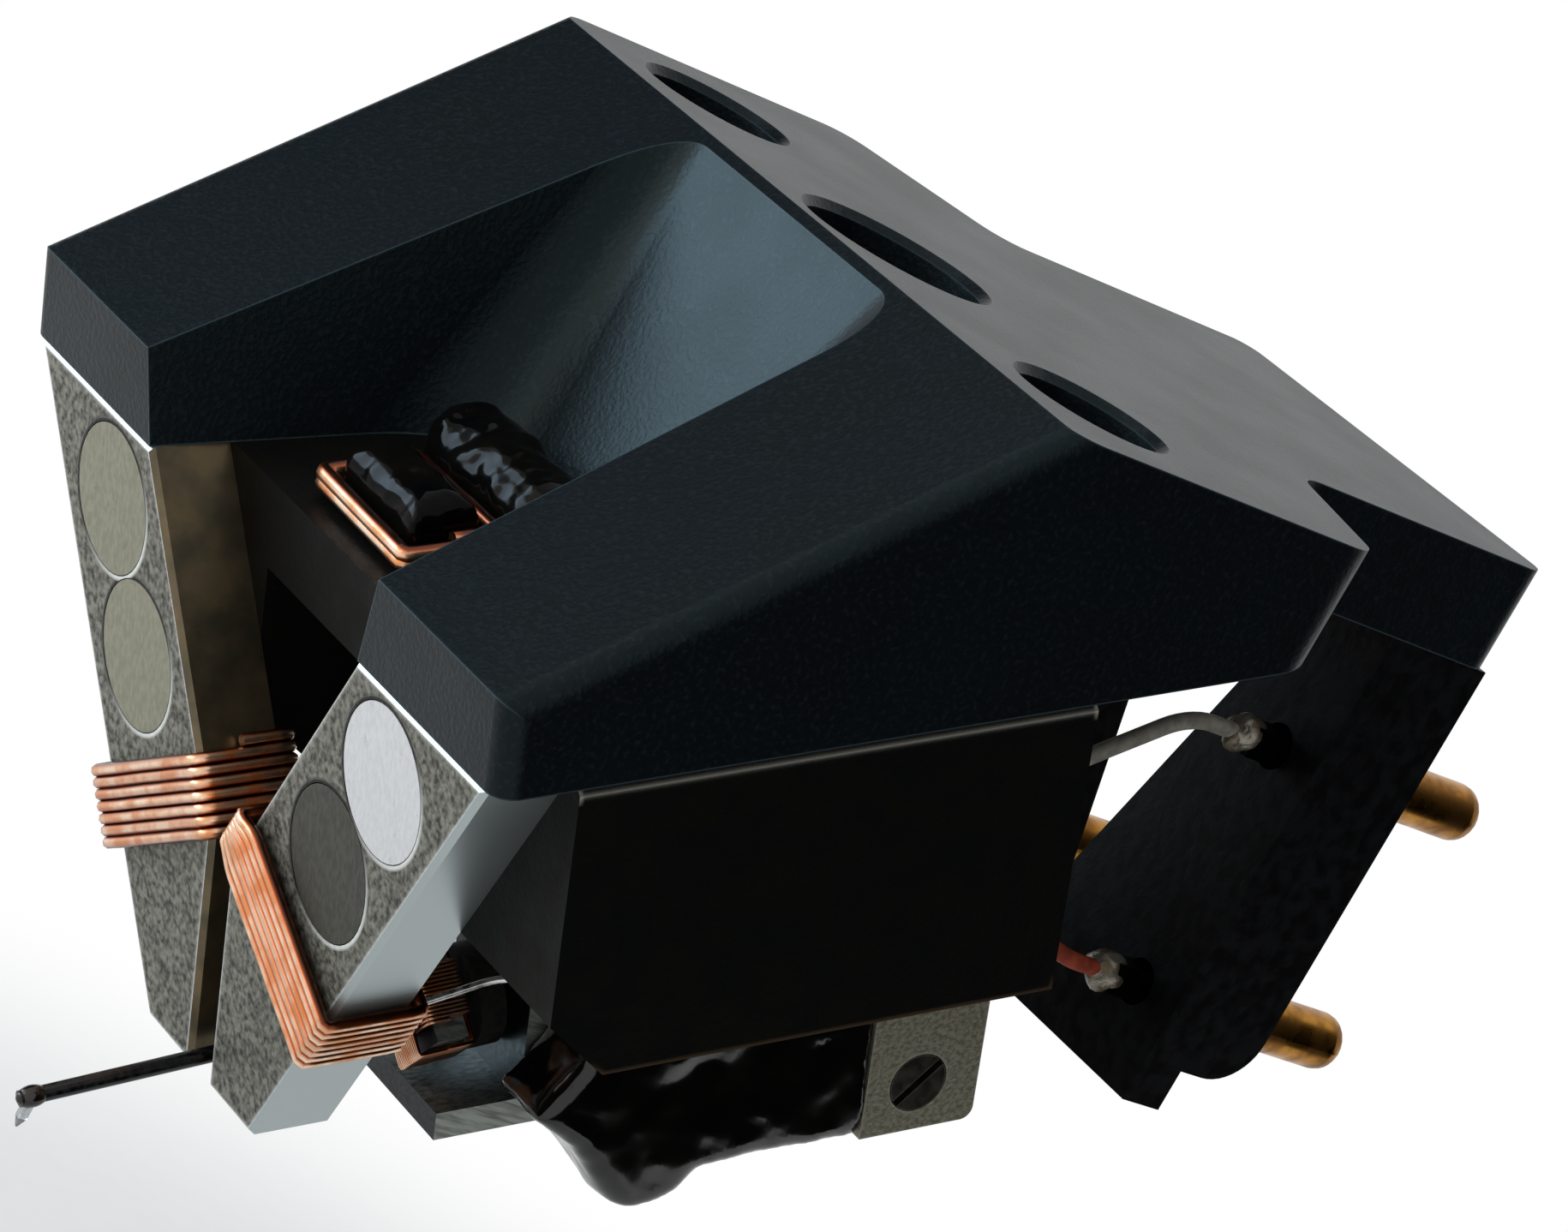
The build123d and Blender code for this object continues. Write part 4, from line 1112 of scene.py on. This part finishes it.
def pale_floor():
    """Pale studio floor that goes to clear white away from the object."""
    # Seamless paper: even white, with the object's shadow kept where it stands
    material, tree, place = start_material("seamless_paper")
    fibre = patches(tree, place, size_mm=0.8)
    grey, pale = linear("#f7f7f7"), linear("#fafafa")
    tone = add(tree, "ShaderNodeMix", {FACTOR: fibre, A: grey, B: pale}, **RGBA)
    paper = add(tree, "ShaderNodeBsdfDiffuse", {"Color": tone})
    white = add(tree, "ShaderNodeEmission", {"Color": WHITE, "Strength": 1.0})
    level = add(
        tree, "ShaderNodeVectorMath", {0: place, 1: (1.0, 1.0, 0.0)}, operation="MULTIPLY"
    )
    distance = add(tree, "ShaderNodeVectorMath", {0: level}, operation="LENGTH")
    far = add(
        tree,
        "ShaderNodeMapRange",
        {
            "Value": distance,
            "From Min": SHADOW_REACH * MM,
            "From Max": CLEAR_REACH * MM,
            "To Min": SHADOW_WHITE,
        },
        interpolation_type="SMOOTHSTEP",
    )
    seen = add(tree, "ShaderNodeMath", {0: far, 1: seen_directly(tree)}, operation="MULTIPLY")
    mixed = add(tree, "ShaderNodeMixShader", {0: seen, 1: paper, 2: white})
    add(tree, "ShaderNodeOutputMaterial", {"Surface": mixed})
    return material


def black_card():
    """Black card that keeps white out of the reflections."""
    # Velvet-covered card: black with a faint nap
    material, tree, place = start_material("black_velvet")
    nap = patches(tree, place, size_mm=2.0)
    pile, tips = linear("#020202"), linear("#050505")
    black = add(tree, "ShaderNodeMix", {FACTOR: nap, A: pile, B: tips}, **RGBA)
    return finish_material(material, black, 1.0, **{"Specular IOR Level": 0.0})


def lamp(name, place, side, colour, power, target):
    """A square lamp that faces a point."""
    data = bpy.data.lights.new(name, "AREA")
    data.shape = "SQUARE"
    data.size = side * MM
    data.color = linear(colour)[:3]
    data.energy = power
    light = bpy.data.objects.new(name, data)
    light.location = Vector(place) * MM
    light.rotation_euler = (light.location - target).to_track_quat("Z", "Y").to_euler()
    bpy.context.scene.collection.objects.link(light)


def stage_sheet(name, half, placing, material):
    """A square sheet of the stage, placed by a matrix that is applied to its mesh."""
    corners = [(-half, -half, 0), (half, -half, 0), (half, half, 0), (-half, half, 0)]
    mesh = bpy.data.meshes.new(name)
    mesh.from_pydata(corners, [], [(0, 1, 2, 3)])
    mesh.transform(placing)
    mesh.materials.append(material)
    sheet = bpy.data.objects.new(name, mesh)
    bpy.context.scene.collection.objects.link(sheet)
    return sheet


class CARTRIDGE_OT_stage(bpy.types.Operator):
    """Set the camera, the floor, the cards, the lamps and the world."""

    bl_idname = "cartridge.stage"
    bl_label = "Stage"

    def execute(self, context):
        scene = context.scene
        stage = scene.cartridge_stage
        scene.view_settings.view_transform = "Standard"
        camera_data = bpy.data.cameras.new("camera")
        camera_data.sensor_width = SENSOR_WIDTH
        camera_data.lens = stage.lens
        camera_data.clip_start = MM
        camera = bpy.data.objects.new("camera", camera_data)
        axes = Matrix((CAMERA_RIGHT, CAMERA_UP, CAMERA_BACK)).transposed().to_4x4()
        camera.matrix_world = Matrix.Translation(Vector(CAMERA_PLACE) * MM) @ axes
        scene.collection.objects.link(camera)
        scene.camera = camera
        low, high = (Vector(corner) for corner in CAD_BOUNDS)
        ground = Matrix.Translation((0, 0, low.z - stage.floor_drop))
        stage_sheet("floor", FLOOR_HALF * MM, ground, pale_floor())
        velvet = black_card()
        for name, (place, facing, half) in CARDS.items():
            turn = Vector(facing).to_track_quat("Z", "Y").to_matrix().to_4x4()
            placing = Matrix.Translation(Vector(place) * MM) @ turn
            card = stage_sheet(name, half * MM, placing, velvet)
            card.visible_camera = False
            card.visible_diffuse = False
            card.visible_shadow = False
            card.visible_transmission = False
        for name, power in (("key", stage.key_power), ("fill", stage.fill_power)):
            lamp(name, *LAMPS[name], power, (low + high) / 2)
        world = bpy.data.worlds.new("studio")
        scene.world = world
        world.use_nodes = True
        tree = world.node_tree
        tree.nodes.clear()
        level = add(
            tree,
            "ShaderNodeMapRange",
            {"Value": seen_directly(tree), "To Min": stage.world_level, "To Max": 1.0},
        )
        sky = add(tree, "ShaderNodeBackground", {"Color": WHITE, "Strength": level})
        add(tree, "ShaderNodeOutputWorld", {"Surface": sky})
        return {"FINISHED"}


PIECES = (
    CARTRIDGE_OT_headblock,
    CARTRIDGE_OT_generator,
    CARTRIDGE_OT_damping_coils,
    CARTRIDGE_OT_pole_holder,
    CARTRIDGE_OT_stylus,
    CARTRIDGE_OT_terminals,
    CARTRIDGE_OT_leads,
    CARTRIDGE_OT_stage,
)
GROUPS = {
    "cartridge_sizes": CartridgeSizes,
    "cartridge_finishes": CartridgeFinishes,
    "cartridge_stage": CartridgeStage,
}


class CARTRIDGE_PT_panel(bpy.types.Panel):
    """Lists the cartridge's sizes, finishes and pieces."""

    bl_idname = "CARTRIDGE_PT_panel"
    bl_label = "Phono Cartridge"
    bl_space_type = "VIEW_3D"
    bl_region_type = "UI"
    bl_category = "Cartridge"

    def draw(self, context):
        for group in GROUPS:
            values = getattr(context.scene, group)
            for name in values.__annotations__:
                self.layout.prop(values, name)
        for piece in PIECES:
            self.layout.operator(piece.bl_idname)


CLASSES = (*GROUPS.values(), *PIECES, CARTRIDGE_PT_panel)


def register():
    """Register the classes and hang the property groups on the scene."""
    for entry in CLASSES:
        bpy.utils.register_class(entry)
    for name, group in GROUPS.items():
        setattr(bpy.types.Scene, name, PointerProperty(type=group))


def unregister():
    """Take the property groups and classes away again."""
    for name in GROUPS:
        delattr(bpy.types.Scene, name)
    for entry in reversed(CLASSES):
        bpy.utils.unregister_class(entry)


def main():
    """Build the cartridge piece by piece."""
    register()
    bpy.ops.cartridge.headblock()
    bpy.ops.cartridge.generator()
    bpy.ops.cartridge.damping_coils()
    bpy.ops.cartridge.pole_holder()
    bpy.ops.cartridge.stylus()
    bpy.ops.cartridge.terminals()
    bpy.ops.cartridge.leads()
    bpy.ops.cartridge.stage()


if __name__ == "__main__":
    main()
